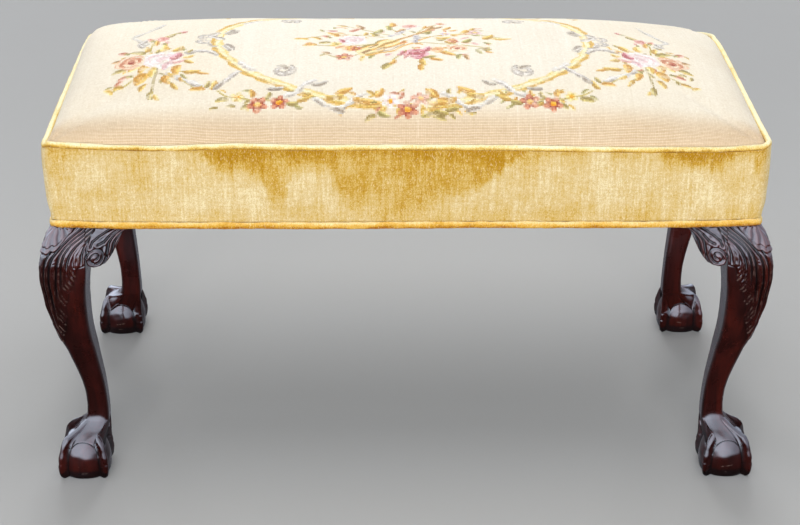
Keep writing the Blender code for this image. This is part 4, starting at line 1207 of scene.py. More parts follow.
def even(limit, shape, n):
    """Stations from -limit to limit, evenly spaced along the curved profile."""
    t = np.sin(np.linspace(-math.pi / 2, math.pi / 2, 20001)) * limit
    h = RISE * shape(t)
    length = np.concatenate([[0], np.cumsum(np.hypot(np.diff(t), np.diff(h)))])
    return np.interp(np.linspace(0, length[-1], n + 1), length, t), length[-1]


COL_X, CLOTH_X = even(EDGE_X, crown_x, FX)
ROW_Y, CLOTH_Y = even(EDGE_Y, crown_y, FY)


def crown(x, y, rise):
    """Points of the padded top over stations x and y, corners rounded in plan."""
    X, Y = np.meshgrid(x, y)
    Z = COVER_Z + rise * crown_x(X, Y) * crown_y(Y)
    dx, dy = np.abs(X) - (EDGE_X - EDGE_R), np.abs(Y) - (EDGE_Y - EDGE_R)
    corner = (dx > 0) & (dy > 0)
    k = np.where(corner, np.maximum(dx, dy) / np.maximum(np.hypot(dx, dy), 1e-9), 1.0)
    px = np.where(corner, np.sign(X) * (EDGE_X - EDGE_R + dx * k), X)
    py = np.where(corner, np.sign(Y) * (EDGE_Y - EDGE_R + dy * k), Y)
    return np.stack([px, py, Z], -1)


def cloth_swell(grid, pressure, cap):
    """Let a sheet pinned at its edge fill out under pressure; gives each point's movement."""
    rows, cols = grid.shape[:2]
    ob = build("swell", grid.reshape(-1, 3), [grid_faces(rows, cols)], [])
    pin = ob.vertex_groups.new(name="edge")
    n = np.arange(rows * cols).reshape(rows, cols)
    border = np.concatenate([n[0], n[-1], n[:, 0], n[:, -1]])
    pin.add([int(i) for i in np.unique(border)], 1.0, "REPLACE")
    cloth = ob.modifiers.new("fill", "CLOTH")
    s = cloth.settings
    s.quality = 5
    s.mass = 0.4
    s.tension_stiffness = s.compression_stiffness = 60
    s.shear_stiffness = 25
    s.bending_stiffness = 1.2
    s.tension_damping = s.compression_damping = 25
    s.air_damping = 2
    s.use_pressure = True
    s.uniform_pressure_force = pressure
    s.vertex_group_mass = "edge"
    s.effector_weights.gravity = 0
    cloth.collision_settings.use_collision = False
    cloth.point_cache.frame_start, cloth.point_cache.frame_end = 1, 20
    scene = bpy.context.scene
    for f in range(1, 21):
        scene.frame_set(f)
    done = ob.evaluated_get(bpy.context.evaluated_depsgraph_get()).data
    co = np.empty(rows * cols * 3, np.float32)
    done.vertices.foreach_get("co", co)
    move = co.reshape(rows, cols, 3).astype(float) - grid
    scene.frame_set(1)
    me = ob.data
    bpy.data.objects.remove(ob)
    bpy.data.meshes.remove(me)
    size = np.linalg.norm(move, axis=-1, keepdims=True)
    return move * (np.tanh(size / cap) * cap / np.maximum(size, 1e-9))


def spread(coarse, rows, cols, straight=False):
    """Resampling of a coarse grid of vectors, eased between its points unless straight."""
    r, c = coarse.shape[:2]
    ri, ci = np.linspace(0, r - 1, rows), np.linspace(0, c - 1, cols)
    r0, c0 = np.minimum(ri.astype(int), r - 2), np.minimum(ci.astype(int), c - 2)
    u, w = (ri - r0)[:, None, None], (ci - c0)[None, :, None]
    if not straight:
        u, w = u * u * (3 - 2 * u), w * w * (3 - 2 * w)
    a, b = coarse[r0][:, c0], coarse[r0][:, c0 + 1]
    d, e = coarse[r0 + 1][:, c0], coarse[r0 + 1][:, c0 + 1]
    return (a * (1 - w) + b * w) * (1 - u) + (d * (1 - w) + e * w) * u


def needlepoint_material():
    t = Tree("needlepoint_wool")
    wool, open_ = t.attr("chart", "Color"), t.attr("chart", "Alpha")
    place_ = t.split(t.attr("stitch", "Vector"))
    col, row = t.math("FRACT", place_[0]), t.math("FRACT", place_[1])
    across = t.math("ABSOLUTE", t.math("SUBTRACT", col, 0.5))
    along = t.math("ABSOLUTE", t.math("SUBTRACT", row, 0.5))
    gap_row = t.fit(along, 0.24, 0.5)
    gap_col = t.fit(across, 0.32, 0.5)
    slant = t.math("ABSOLUTE", t.math("SUBTRACT", t.math("ADD", col, row), 1.0))
    fuzz = t.noise(2600.0, 2.0, 0.6)
    base = t.blend(t.fit(fuzz, 0.3, 0.75, 0.0, 0.08), wool, srgb(214, 182, 140))
    # between stitches the colour darkens: brownish canvas showing through, and painted shade in the gaps
    canvas_gap_shade = t.math("MAXIMUM", t.math("MULTIPLY", gap_row, open_), t.math("MULTIPLY", gap_col, t.math("MULTIPLY", open_, 0.45)))
    base = t.blend(canvas_gap_shade, base, t.blend(1.0, base, srgb(198, 162, 122), "MULTIPLY"))
    height = t.math("SUBTRACT", t.math("SUBTRACT", 1.0, t.math("MAXIMUM", gap_row, gap_col)),
                    t.math("MULTIPLY", slant, 0.35))
    height = t.math("ADD", height, t.math("MULTIPLY", fuzz, 0.4))
    t.set(Base_Color=base, Roughness=t.fit(fuzz, 0.2, 0.8, 0.82, 0.96), Specular_IOR_Level=0.04,
          Sheen_Weight=0.10, Sheen_Roughness=0.5, Normal=t.bump(height, 0.40, 0.0007))
    return t.mat


def stitched_chart(grid):
    """Colour of every stitch, linear, and how open the weave is there, from its place in plan."""
    fine = 2
    rows, cols = (grid.shape[0] - 1) * fine + 1, (grid.shape[1] - 1) * fine + 1
    q = spread(grid[..., :2], rows, cols, True)
    mid = (q[:-1, :-1] + q[1:, :-1] + q[:-1, 1:] + q[1:, 1:]) / 4
    x, y = mid[..., 0] * 1000, mid[..., 1] * 1000
    rng = np.random.default_rng(5)
    soft = Noise(33)
    ground = np.empty(x.shape + (3,))
    ground[:] = GROUND
    edge = ease(-164, -212, y) + 0.25 * ease(185, 215, y) + 0.06 * ease(390, 440, np.abs(x))
    edge = np.clip(edge + 0.08 * soft(x / 60, y / 45), 0, 1)[..., None]
    ground = mix(ground, np.asarray(GROUND_EDGE, float), edge)
    # outside the oval the ground has yellowed a little more
    oval = ease(0.92, 1.12, np.hypot(x / 251, y / 177))[..., None]
    ground = ground - oval * np.asarray((0.5, 2.5, 6.0))
    # dye lots and pulled threads: whole rows and columns a little lighter or darker
    lots = np.repeat(rng.normal(0, 1, x.shape[0] // fine), fine)[:, None, None] * np.asarray((0.7, 0.9, 1.2))
    warps = np.repeat(rng.normal(0, 1, x.shape[1] // fine), fine)[None, :, None] * np.asarray((0.8, 1.0, 1.3))
    ground = ground + lots * (0.25 + 1.2 * edge) + warps + 2.0 * soft(x / 110 + 7, y / 90)[..., None]
    slub = np.repeat(rng.random(x.shape[1] // fine) > 0.955, fine)[None, :] & (soft(x / 7.0, y / 16 + 3) > 0.2)
    ground[slub] += np.asarray((5, 7, 10)) * (0.4 + edge[slub])
    tick = soft(x / 30.0, y / 2.4) > 0.55
    ground[tick] -= np.asarray((5, 7, 9)) * (0.1 + 0.6 * edge[tick])
    # the drawing wanders a little, as counted stitches do
    ch = Chart(x + 1.6 * soft(x / 14, y / 14 + 11), y + 1.6 * soft(x / 14 + 21, y / 14), ground)
    for sx in (1, -1):
        for sy in (1, -1):
            draw_garland(ch, sx, sy, rng)
    for sy in (1, -1):
        draw_middle(ch, sy, rng)
    for sx in (1, -1):
        draw_spray(ch, sx, rng)
    draw_bouquet(ch, rng)
    drawn = np.abs(ch.c - ground).sum(-1) > 1
    # worn thin in places, so that the ground colour shows through
    worn = drawn & (soft(x / 9 + 40, y / 9) + rng.normal(0, 0.25, x.shape) > 0.45)
    ch.c[worn] = mix(ch.c[worn], ground[worn], 0.55)

    def whole(v):
        return v.reshape(v.shape[0] // fine, fine, v.shape[1] // fine, fine, -1).mean((1, 3))

    c, part, weave = whole(ch.c), whole(drawn.astype(float)), whole(edge)
    c = c + rng.normal(0, 1, part.shape) * np.asarray((2.5, 3.0, 3.6)) + part * rng.normal(0, 8.0, part.shape)
    c = np.clip(c, 0, 255) / 255
    c = np.where(c <= 0.04045, c / 12.92, ((c + 0.055) / 1.055) ** 2.4)
    return np.concatenate([c, 0.15 + 0.80 * weave + 0.10 * part * (1 - weave)], -1)


def mitre(x, y):
    """How near a point in plan is to the fold in from a corner of the cover, from 0 to 1."""
    dx, dy = EDGE_X - np.abs(x), EDGE_Y - np.abs(y)
    return bell(dx - dy, 0.016) * ease(0.150, 0.110, dx) * ease(0.004, 0.016, np.minimum(dx, dy))


def make_cover():
    cx, cy = COL_X[::4], ROW_Y[::4]
    start = crown(cx, cy, RISE - SWELL)
    move = cloth_swell(start, 4.0, 0.0060)
    grid = crown(COL_X, ROW_Y, RISE - SWELL) + spread(move, FY + 1, FX + 1)
    print("cover swell, mm: mean %.2f, most %.2f, crest %.1f" % (
        np.linalg.norm(move, axis=-1).mean() * 1000, np.linalg.norm(move, axis=-1).max() * 1000, grid[..., 2].max() * 1000))
    # lumps of the hair stuffing, and small gathers where the cover is drawn into the seam
    lump = Noise(44)
    x, y = grid[..., 0], grid[..., 1]
    n = np.cross(np.gradient(grid, axis=1), np.gradient(grid, axis=0))
    n = n / np.maximum(np.linalg.norm(n, axis=-1, keepdims=True), 1e-12)
    far = np.maximum(-np.log(np.exp(-90 * (EDGE_X - np.abs(x))) + np.exp(-90 * (EDGE_Y - np.abs(y)))) / 90, 0.0)
    k = ease(0.0, 0.040, far)
    bumps = 0.0011 * lump(x * 9, y * 9) + 0.0005 * lump(x * 23 + 5, y * 23)
    pull = 0.0007 * lump(x * 70, y * 70 + 9) * bell(far - 0.012, 0.012)
    grid = grid + n * (bumps * k + pull * ease(0, 0.006, far))[..., None]
    # the seam line is uneven, and the edge follows it
    p = grid.reshape(-1, 3)
    m = np.stack([np.zeros(len(p)), -np.ones(len(p))], -1)
    wave = welt_wave(p[:, :2], m, p[:, 0]).reshape(grid.shape[:2])
    sink = corner_sink(x, y) * bell(far, 0.018)
    grid[..., 2] += (wave - corner_sink(x, y)) * bell(y + EDGE_Y, 0.035) + sink
    # thin wool and canvas: a coarser underside closes the shell
    low = (grid - (0.0015 + 0.0040 * mitre(x, y))[..., None] * n)[::STEP, ::STEP].copy()
    inside = 1 - 0.0012 / np.maximum(np.abs(low[..., :2]), 0.05)
    low[..., :2] *= inside
    rows, cols = FY + 1, FX + 1
    lr, lc = low.shape[:2]
    first = rows * cols
    top = np.arange(first).reshape(rows, cols)
    bot = first + np.arange(lr * lc).reshape(lr, lc)
    strips = []
    for fine, coarse in ((top[0], bot[0]), (top[:, -1], bot[:, -1]), (top[-1, ::-1], bot[-1, ::-1]), (top[::-1, 0], bot[::-1, 0])):
        for j in range(len(coarse) - 1):
            strips.append(np.concatenate([fine[j * STEP:(j + 1) * STEP + 1][::-1], coarse[j:j + 2]]))
    under = grid_faces(lr, lc, first=first)[:, ::-1]
    verts = np.concatenate([grid.reshape(-1, 3), low.reshape(-1, 3)])
    ob = build("needlepoint_top", verts, [grid_faces(rows, cols), under, np.array(strips)], [needlepoint_material()])
    rgba = stitched_chart(grid).reshape(-1, 4)
    rest = np.tile(np.asarray(srgb(196, 170, 128)[:3] + (0.5,)), (len(under) + len(strips), 1))
    rgba = np.concatenate([rgba, rest])
    a = ob.data.attributes.new("chart", "FLOAT_COLOR", "FACE")
    a.data.foreach_set("color", rgba.astype(np.float32).ravel())
    C, R = np.meshgrid(np.arange(cols), np.arange(rows))
    st = np.stack([C, R, 0 * C], -1).reshape(-1, 3).astype(float)
    CL, RL = np.meshgrid(np.arange(lc) * STEP, np.arange(lr) * STEP)
    st = np.concatenate([st, np.stack([CL, RL, 0 * CL], -1).reshape(-1, 3)])
    a = ob.data.attributes.new("stitch", "FLOAT_VECTOR", "POINT")
    a.data.foreach_set("vector", st.astype(np.float32).ravel())
    place(ob, "needlepoint", "needlepoint_cover")
    return grid, n


def matted(name, dark, mid, light):
    """Curled hair and wadding."""
    t = Tree(name)
    hair = t.noise(420.0, 4.0, 0.7, distortion=2.5)
    tuft = t.voronoi(70.0)
    c = t.ramp(hair, (0.28, dark), (0.5, mid), (0.75, light))
    c = t.blend(t.fit(tuft, 0.25, 0.6, 0.0, 0.4), c, dark)
    t.set(Base_Color=c, Roughness=t.fit(hair, 0.3, 0.7, 0.85, 0.97), Specular_IOR_Level=0.15,
          Normal=t.bump(t.math("ADD", hair, tuft), 0.8, 0.002))
    return t.mat


def make_wadding(grid, n):
    """Top stuffing under the cover: the same crown a little lower, on a flat base."""
    lo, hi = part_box("top_stuffing")
    top = (grid - (0.0034 + 0.0046 * mitre(grid[..., 0], grid[..., 1]))[..., None] * n)[::6, ::6].copy()
    top[..., :2] *= 1 - 0.0026 / np.maximum(np.abs(top[..., :2]), 0.05)
    tuft = Noise(47)
    top[1:-1, 1:-1, 2] += 0.0008 * (tuft(top[1:-1, 1:-1, 0] * 40, top[1:-1, 1:-1, 1] * 40) - 1)
    base = top.copy()
    base[..., 2] = lo[2] + 0.0002 + 0.0002 * tuft(base[..., 0] * 30, base[..., 1] * 30 + 5)
    top[..., 2] = np.maximum(top[..., 2], lo[2] + 0.0012)
    r, c = top.shape[:2]
    k = np.arange(r * c).reshape(r, c)
    loop = np.concatenate([k[0, :-1], k[:-1, -1], k[-1, :0:-1], k[:0:-1, 0]])
    nxt = np.roll(loop, -1)
    wall = np.stack([nxt, loop, loop + r * c, nxt + r * c], -1)
    verts = np.concatenate([top.reshape(-1, 3), base.reshape(-1, 3)])
    faces = outward(verts, [grid_faces(r, c), grid_faces(r, c, first=r * c)[:, ::-1], wall])
    ob = build("cotton_wadding", verts, faces, [matted(
        "cotton_wadding", srgb(206, 198, 182), srgb(228, 222, 208), srgb(242, 238, 228))])
    place(ob, "stuffing", "top_stuffing")


# ================================================================ velvet
def velvet_material(name, stops, streak):
    """Cut-pile velvet, darker gold where its point value is high: bruised and rubbed pile on the band, and on the cords
    painted shade on the underside as well.
    """
    t = Tree(name)
    crush_and_shade = t.attr("crush_and_shade")
    warp = t.noise(420.0, 4.0, 0.65, stretch=(1.0, 1.0, 0.05))
    broad = t.noise(120.0, 3.0, 0.6, stretch=(1.0, 1.0, 0.10))
    weft = t.noise(420.0, 2.0, 0.6, stretch=(0.10, 0.10, 1.0))
    cloud = t.noise(22.0, 4.0, 0.62)
    fine = t.noise(260.0, 4.0, 0.7)
    grain = t.noise(620.0, 2.0, 0.6)
    speck = t.noise(1100.0, 2.0, 0.6)
    k = crush_and_shade
    for v, much in ((cloud, 1.25), (fine, 1.2), (warp, 1.45 * streak), (broad, 0.85 * streak), (weft, 0.5 * streak), (grain, 1.15), (speck, 1.0)):
        k = t.math("ADD", k, t.math("MULTIPLY", t.math("SUBTRACT", v, 0.5), much))
    base = t.ramp(t.fit(k, -0.5, 1.3, smooth=False), *stops)
    base = t.blend(t.fit(speck, 0.54, 0.72, 0.0, 0.45), base, srgb(160, 112, 44))
    shine = t.noise(800.0, 2.0, 0.5, stretch=(1.0, 1.0, 0.35))
    base = t.blend(t.fit(shine, 0.54, 0.72, 0.0, 0.8), base, t.blend(0.45, base, srgb(253, 240, 202)))
    height = t.math("ADD", t.math("MULTIPLY", warp, 0.6), t.math("MULTIPLY", speck, 0.6))
    t.set(Base_Color=base, Roughness=t.fit(fine, 0.25, 0.75, 0.7, 0.92), Specular_IOR_Level=0.04,
          Sheen_Weight=0.30, Sheen_Roughness=0.42, Sheen_Tint=srgb(255, 236, 180),
          Normal=t.bump(height, 0.40, 0.0007))
    return t.mat


def front_crush(x, z):
    """Rubbed and stained pile on the front, in millimetres from the middle and the floor."""
    n1, n2 = Noise(51), Noise(52)
    row = 152 + (468 - z) * 70 / 96 + 3.2 * n1(x / 9, z / 14) + 5.0 * n2(x / 4.5, z / 40) + 2.0 * n1(x / 3.0 + 5, z / 7)
    px = 405.5 + x * 0.7976 + 4.0 * n2(x / 14 + 9, z / 10)
    low = np.interp(px, CRUSH_PX, CRUSH_ROW)
    much = np.interp(px, CRUSH_PX, CRUSH_AMOUNT)
    soft = np.interp(px, (430, 470, 520, 560), (13.0, 9.0, 7.0, 12.0))
    k = much * ease(0.0, 1.0, (low + soft - row) / (2 * soft))
    k = k + 0.55 * bell(np.hypot((px - 55) / 13, (row - 176) / 17), 1.0) + 0.45 * bell(np.hypot((px - 92) / 12, (row - 195) / 9), 1.0)
    k = k + 0.30 * bell(np.hypot((px - 130) / 26, (row - 182) / 26), 1.0) + 0.45 * ease(164, 152, row) * ease(0.0, 0.4, n1(x / 40, 0.5) + 0.35)
    k = k + 0.62 * bell((px - 711) / 22, 1.0) * bell((row - 159) / 11, 1.0) + 0.45 * bell(np.hypot((px - 760) / 9, (row - 163) / 8), 1.0) + 0.2 * ease(205, 216, row)
    k = k + 0.16 * ease(290, 330, px) * ease(560, 520, px) + 0.13 * ease(520, 580, px) + 0.14 * ease(184, 158, row)
    k = k - 0.30 * bell((px - 607) / 18, 1.0) - 0.3 * bell((px - 700) / 16, 1.0) * ease(172, 184, row)
    return k


def make_boxing():
    cols = 906
    p, m, s = outline(cols)
    up, dn = welt_wave(p, m, s), trim_wave(p, m, s)
    z_out = np.concatenate([np.linspace(BOX_Z[0], BOX_Z[2], 39)])
    t = (z_out - BOX_Z[0]) / (BOX_Z[2] - BOX_Z[0])
    out = curve(BOX_Z, BOX_OUT, z_out)
    wob, fold = Noise(61), Noise(62)
    T, S = np.meshgrid(t, s, indexing="ij")
    corner = np.minimum(np.abs(np.abs(p[:, 0]) - HALF_X), 1.0) + np.minimum(np.abs(np.abs(p[:, 1]) - HALF_Y), 1.0)
    corner = bell(corner, 0.045)[None, :]
    d = 0.0007 * wob(S * 7, T * 2.2) + 0.0004 * wob(S * 19 + 5, T * 3.5)
    d = d + 0.0005 * fold(S * 46, T * 0.6) * (0.25 + 0.75 * ease(0.55, 1.0, T)) + 0.0004 * fold(S * 33 + 9, T * 0.7) * ease(0.35, 0.0, T)
    d = d + corner * (0.0011 * bell(T - 0.82, 0.22) + 0.0010 * fold(S * 90, T * 1.2) * bell(T - 0.85, 0.3))
    d = d * ease(0.0, 0.08, T) * ease(1.0, 0.94, T)
    z = z_out[:, None] + up[None, :] * T + dn[None, :] * (1 - T)
    o = out[:, None] + d + 0.0024 * m[None, :, 0] ** 2 * ease(0.0, 0.25, T)
    outer = np.stack([p[None, :, 0] + m[None, :, 0] * o, p[None, :, 1] + m[None, :, 1] * o, z], -1)
    pick = [38, 26, 13, 0]
    oi = o[pick] - BOX_THICK * 0.8
    inner = np.stack([p[None, :, 0] + m[None, :, 0] * oi, p[None, :, 1] + m[None, :, 1] * oi, z[pick]], -1)
    grid = np.concatenate([outer, inner])
    rows = len(grid)
    verts = grid.reshape(-1, 3)
    faces = outward(verts, [grid_faces(rows, cols, wrap_cols=True, wrap_rows=True)])
    ob = build("velvet_band", verts, faces, [velvet_material(
        "velvet_gold", ((0.0, srgb(237, 223, 182)), (0.30, srgb(218, 194, 142)), (0.55, srgb(210, 178, 105)),
                        (0.78, srgb(195, 153, 55)), (1.0, srgb(176, 129, 26))), 1.0)])
    loose = Noise(71)
    zz = grid[..., 2] * 1000
    L = np.repeat(s[None, :], rows, 0)
    k = 0.55 * ease(0.05, 0.55, loose(L * 11, zz / 60)) + 0.5 * ease(395, 465, zz + 24 * loose(L * 17 + 3, 0.5)) * ease(-0.1, 0.5, loose(L * 5, 8.5))
    front = front_crush(grid[..., 0] * 1000, zz)
    on = ease(0.6, 0.95, -m[:, 1])[None, :]
    point_values(ob, "crush_and_shade", np.clip(mix(k, front, on), -0.6, 1.3))
    place(ob, "velvet", "velvet_boxing")
    return ob


def make_cord(name, node, slot, mat, cols, sides, out, z, wave, rx, rz, rough, seed):
    """Covered cord round the seat: fabric drawn tight over a core, with small gathers; its colour value carries painted
    light, paler on top and darker underneath.
    """
    p, m, s = outline(cols)
    w = wave(p, m, s)
    n = Noise(seed)
    a = np.arange(sides) * 2 * math.pi / sides
    A, S = np.meshgrid(a, s, indexing="ij")
    size = 1 + rough * (0.6 * n(S * 60, 0.5 + 0 * A) + 0.5 * n(S * 150 + A * 0.9, A * 1.3) + 0.4 * n(S * 330 + A * 1.5, A * 2))
    corner = bell(np.abs(np.abs(p[:, 0]) - HALF_X) + np.abs(np.abs(p[:, 1]) - HALF_Y), 0.030)
    size = size + rough * 0.9 * corner[None, :] * n(S * 210 + 7, 0.5 + 0 * A)
    o = out + rx * np.cos(A) * size + 0.0005 * n(S * 13 + 31, 0.5 + 0 * A)
    zz = z + w[None, :] + rz * np.sin(A) * size
    grid = np.stack([p[None, :, 0] + m[None, :, 0] * o, p[None, :, 1] + m[None, :, 1] * o, zz], -1)
    verts = grid.reshape(-1, 3)
    faces = outward(verts, [grid_faces(sides, cols, wrap_cols=True, wrap_rows=True)])
    ob = build(name, verts, faces, [mat])
    # painted light: paler on the upper side of the cord, darker on the underside, with patches of crush from noise
    k = 0.53 + 0.42 * n(S * 26, 0.5 + 0 * A) - 1.00 * np.sin(A) + 0.3 * n(S * 75 + 3, A)
    point_values(ob, "crush_and_shade", np.clip(k, -0.6, 1.2))
    place(ob, slot, node)
    return ob


def cambric_material():
    t = Tree("cambric_black")
    p = t.split(t.where)
    wx, wy = (t.math("ABSOLUTE", t.math("SINE", t.math("MULTIPLY", p[i], 2600.0))) for i in (0, 1))
    weave = t.math("MAXIMUM", wx, wy)
    dust = t.noise(7.0, 4.0, 0.65)
    c = t.ramp(weave, (0.2, srgb(18, 17, 17)), (0.95, srgb(42, 40, 38)))
    c = t.blend(t.fit(dust, 0.45, 0.75, 0.0, 0.5), c, srgb(84, 76, 66))
    t.set(Base_Color=c, Roughness=t.fit(dust, 0.3, 0.7, 0.86, 0.97), Specular_IOR_Level=0.2, Sheen_Weight=0.15,
          Normal=t.bump(weave, 0.5, 0.0004))
    return t.mat


def make_dust_cover():
    """Black cambric under the seat, cut round the posts and brackets, sagging a little."""
    lo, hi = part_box("dust_cover")
    x1, y1 = hi[0], hi[1]
    px, py = HALF_X - 0.0485 - 0.003, HALF_Y - 0.0485 - 0.003
    bx, by = HALF_X - 0.1165, HALF_Y - 0.1165
    ix, iy = HALF_X + RAIL_OUT - 0.0270, HALF_Y + RAIL_OUT - 0.0270

    def stations(*marks):
        out = [marks[0]]
        for a, b in zip(marks, marks[1:]):
            n = max(1, int(round((b - a) / 0.011)))
            out += [a + (b - a) * k / n for k in range(1, n + 1)]
        return np.array(out)

    xs = stations(-x1, -ix, -px, -bx, 0.0, bx, px, ix, x1)
    ys = stations(-y1, -iy, -py, -by, 0.0, by, py, iy, y1)
    X, Y = np.meshgrid(xs, ys)
    cxm, cym = np.abs((xs[:-1] + xs[1:]) / 2), np.abs((ys[:-1] + ys[1:]) / 2)
    CX, CY = np.meshgrid(cxm, cym)
    keep = ~((CX > px) & (CY > py)) & ~((CX > bx) & (CY > iy)) & ~((CY > by) & (CX > ix))
    sag = Noise(81)
    inside = ease(0.0, 0.06, np.minimum(ix - np.abs(X), iy - np.abs(Y)))
    drop = (0.0016 * np.cos(X / x1 * math.pi / 2) * np.cos(Y / y1 * math.pi / 2) + 0.0005 * sag(X * 11, Y * 11)) * inside
    tuck = 0.00025 * sag(X * 55, Y * 55) * (1 - inside)
    low = lo[2] + 0.00015 - drop - np.abs(tuck)
    f = grid_faces(len(ys), len(xs))[keep.ravel()]
    n = X.size
    below = np.stack([X, Y, low], -1).reshape(-1, 3)
    above = below + np.array([0, 0, 0.0006])
    verts = np.concatenate([below, above])
    edges = np.concatenate([f[:, [i, (i + 1) % 4]] for i in range(4)])
    key = {}
    for a, b in edges:
        key[(int(a), int(b))] = key.get((int(a), int(b)), 0) + 1
    rim = np.array([(a, b, b + n, a + n) for a, b in key if (b, a) not in key])
    faces = [f[:, ::-1], f + n, rim]
    used = np.unique(np.concatenate([q.ravel() for q in faces]))
    renum = np.full(len(verts), -1)
    renum[used] = np.arange(len(used))
    faces = outward(verts[used], [renum[q] for q in faces])
    ob = build("dust_cover_cloth", verts[used], faces, [cambric_material()])
    place(ob, "cambric", "dust_cover")
    return ob


GROUND, GROUND_EDGE, SWELL = (246, 240, 226), (233, 217, 192), 0.0052
WELT_FRONT = (4.4, -0.2, -1.8, 0.6, 1.2, -0.8, -1.4, -0.8, -1.8, -3.5, -4.8, -4.6, -2.2, -0.8)
TRIM_FRONT = (1.4, -1.4, -2.2, -1.5, -1.8, -0.6, 1.2, 1.6)
# rubbed patches along the front, by image column: lowest row reached, and how strong
CRUSH_PX = (40, 195, 212, 240, 262, 268, 282, 288, 300, 330, 338, 352, 372, 398, 405, 430, 455, 470, 495, 520, 528, 650, 662, 700, 725, 735, 780)
CRUSH_ROW = (148, 150, 166, 172, 176, 206, 206, 178, 168, 172, 200, 214, 206, 214, 206, 204, 203, 197, 176, 156, 148, 148, 162, 169, 158, 148, 148)
CRUSH_AMOUNT = (0.0, 0.1, 1.1, 1.2, 1.0, 0.75, 0.65, 0.65, 0.75, 0.65, 0.5, 0.5, 0.45, 0.55, 0.55, 0.5, 0.6, 0.8, 0.95, 0.9, 0.0, 0.1, 0.6, 0.75, 0.5, 0.1, 0.2)

cover_grid, cover_normal = make_cover()
make_wadding(cover_grid, cover_normal)
make_boxing()
make_cord("velvet_welt", "top_welt", "trim",
          velvet_material("velvet_piping", ((0.0, srgb(251, 242, 204)), (0.35, srgb(238, 216, 144)), (0.7, srgb(212, 168, 70)),
                                            (1.0, srgb(158, 112, 30))), 0.4),
          1100, 16, WELT_OUT, WELT_Z, welt_wave, WELT_R, WELT_R, 0.13, 91)
make_cord("velvet_trim", "bottom_trim", "trim",
          velvet_material("velvet_edging", ((0.0, srgb(247, 222, 160)), (0.35, srgb(234, 188, 94)), (0.7, srgb(212, 160, 56)),
                                            (1.0, srgb(168, 104, 16))), 0.4),
          1100, 16, TRIM_OUT, TRIM_Z - 0.0004, trim_wave, 0.0022, 0.0047, 0.16, 92)
make_dust_cover()


# ================================================================ frame and filling inside the seat
def woven(name, dark, mid, light, pitch, stripe=None):
    """Coarse plain weave, with an optional stripe along x or y."""
    t = Tree(name)
    p = t.split(t.where)
    w = [t.math("SINE", t.math("MULTIPLY", p[i], pitch)) for i in (0, 1)]
    over = t.math("MULTIPLY", w[0], w[1])
    slub = t.noise(900.0, 3.0, 0.6)
    age = t.noise(11.0, 4.0, 0.6)
    c = t.ramp(t.math("ADD", t.math("MULTIPLY", over, 0.3), slub), (0.2, dark), (0.5, mid), (0.85, light))
    c = t.blend(t.fit(age, 0.45, 0.75, 0.0, 0.35), c, dark)
    if stripe:
        band = t.math("SINE", t.math("MULTIPLY", p[stripe[0]], stripe[1]))
        c = t.blend(t.fit(band, 0.86, 0.94, 0.0, 0.8), c, srgb(70, 40, 28))
    t.set(Base_Color=c, Roughness=t.fit(age, 0.3, 0.7, 0.84, 0.96), Specular_IOR_Level=0.2,
          Normal=t.bump(t.math("ADD", over, slub), 0.6, 0.0008))
    return t.mat


def old_steel(name, rust):
    t = Tree(name)
    wear = t.noise(60.0, 5.0, 0.65)
    fine = t.noise(900.0, 2.0, 0.6)
    c = t.ramp(wear, (0.3, srgb(92, 90, 88)), (0.55, srgb(126, 122, 116)), (0.7, srgb(112, 70, 42)))
    c = t.blend(t.fit(fine, 0.5, 0.8, 0.0, rust), c, srgb(84, 46, 26))
    t.set(Base_Color=c, Metallic=t.fit(wear, 0.5, 0.72, 0.9, 0.25), Roughness=t.fit(wear, 0.3, 0.75, 0.34, 0.75),
          Normal=t.bump(fine, 0.25, 0.0003))
    return t.mat


def dress(mat, *starts):
    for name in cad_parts:
        if name.startswith(starts):
            ob = bpy.data.objects[name]
            ob.data.materials.clear()
            ob.data.materials.append(mat)


BEECH = (srgb(150, 108, 68), srgb(186, 142, 96), srgb(208, 168, 120))
dress(plain_wood("beech_long", *BEECH, "x"), "seat_rail_front", "seat_rail_back")
dress(plain_wood("beech_end", *BEECH, "y"), "seat_rail_left", "seat_rail_right")
dress(plain_wood("beech_block", srgb(138, 98, 60), srgb(176, 132, 88), srgb(200, 160, 112), "z"), "corner_block_")
dress(old_steel("screw_steel", 0.35), "block_screw_")
dress(old_steel("spring_steel", 0.6), "coil_spring_")
dress(woven("jute_webbing", srgb(128, 100, 62), srgb(170, 140, 94), srgb(200, 174, 126), 2400.0, (1, 118.0)), "webbing_long_")
dress(woven("jute_webbing_cross", srgb(128, 100, 62), srgb(170, 140, 94), srgb(200, 174, 126), 2400.0, (0, 118.0)), "webbing_cross_")
dress(woven("hessian_canvas", srgb(122, 96, 60), srgb(166, 136, 92), srgb(196, 168, 122), 1500.0), "spring_canvas")
dress(woven("hessian_roll", srgb(116, 92, 60), srgb(158, 130, 90), srgb(190, 162, 118), 1700.0), "edge_roll")
dress(matted("curled_hair", srgb(40, 30, 24), srgb(78, 60, 46), srgb(120, 98, 76)), "first_stuffing")


# ================================================================ floor, light and camera
def stage_floor():
    t = Tree("studio_floor")
    paper = t.ramp(t.fit(t.split(t.node("ShaderNodeNewGeometry").outputs["Position"])[1], -0.5, 2.0, smooth=False), (0.0, srgb(174, 174, 173)), (1.0, srgb(154, 153, 151)))
    t.set(Base_Color=t.blend(t.fit(t.noise(1.2, 2.0), 0.3, 0.7, 0.0, 0.05), paper, srgb(190, 190, 190)),
          Roughness=0.85, Specular_IOR_Level=0.15)
    n, r = 48, 9.0
    ring = np.array([(r * math.cos(2 * math.pi * k / n), r * math.sin(2 * math.pi * k / n), -0.0004)
                     for k in range(n)])
    ob = build("studio_floor", np.concatenate([ring, [[0, 0, -0.0004]]]),
               [np.array([(k, (k + 1) % n, n) for k in range(n)])], [t.mat], smooth=False)
    ob.visible_glossy = False


stage_floor()


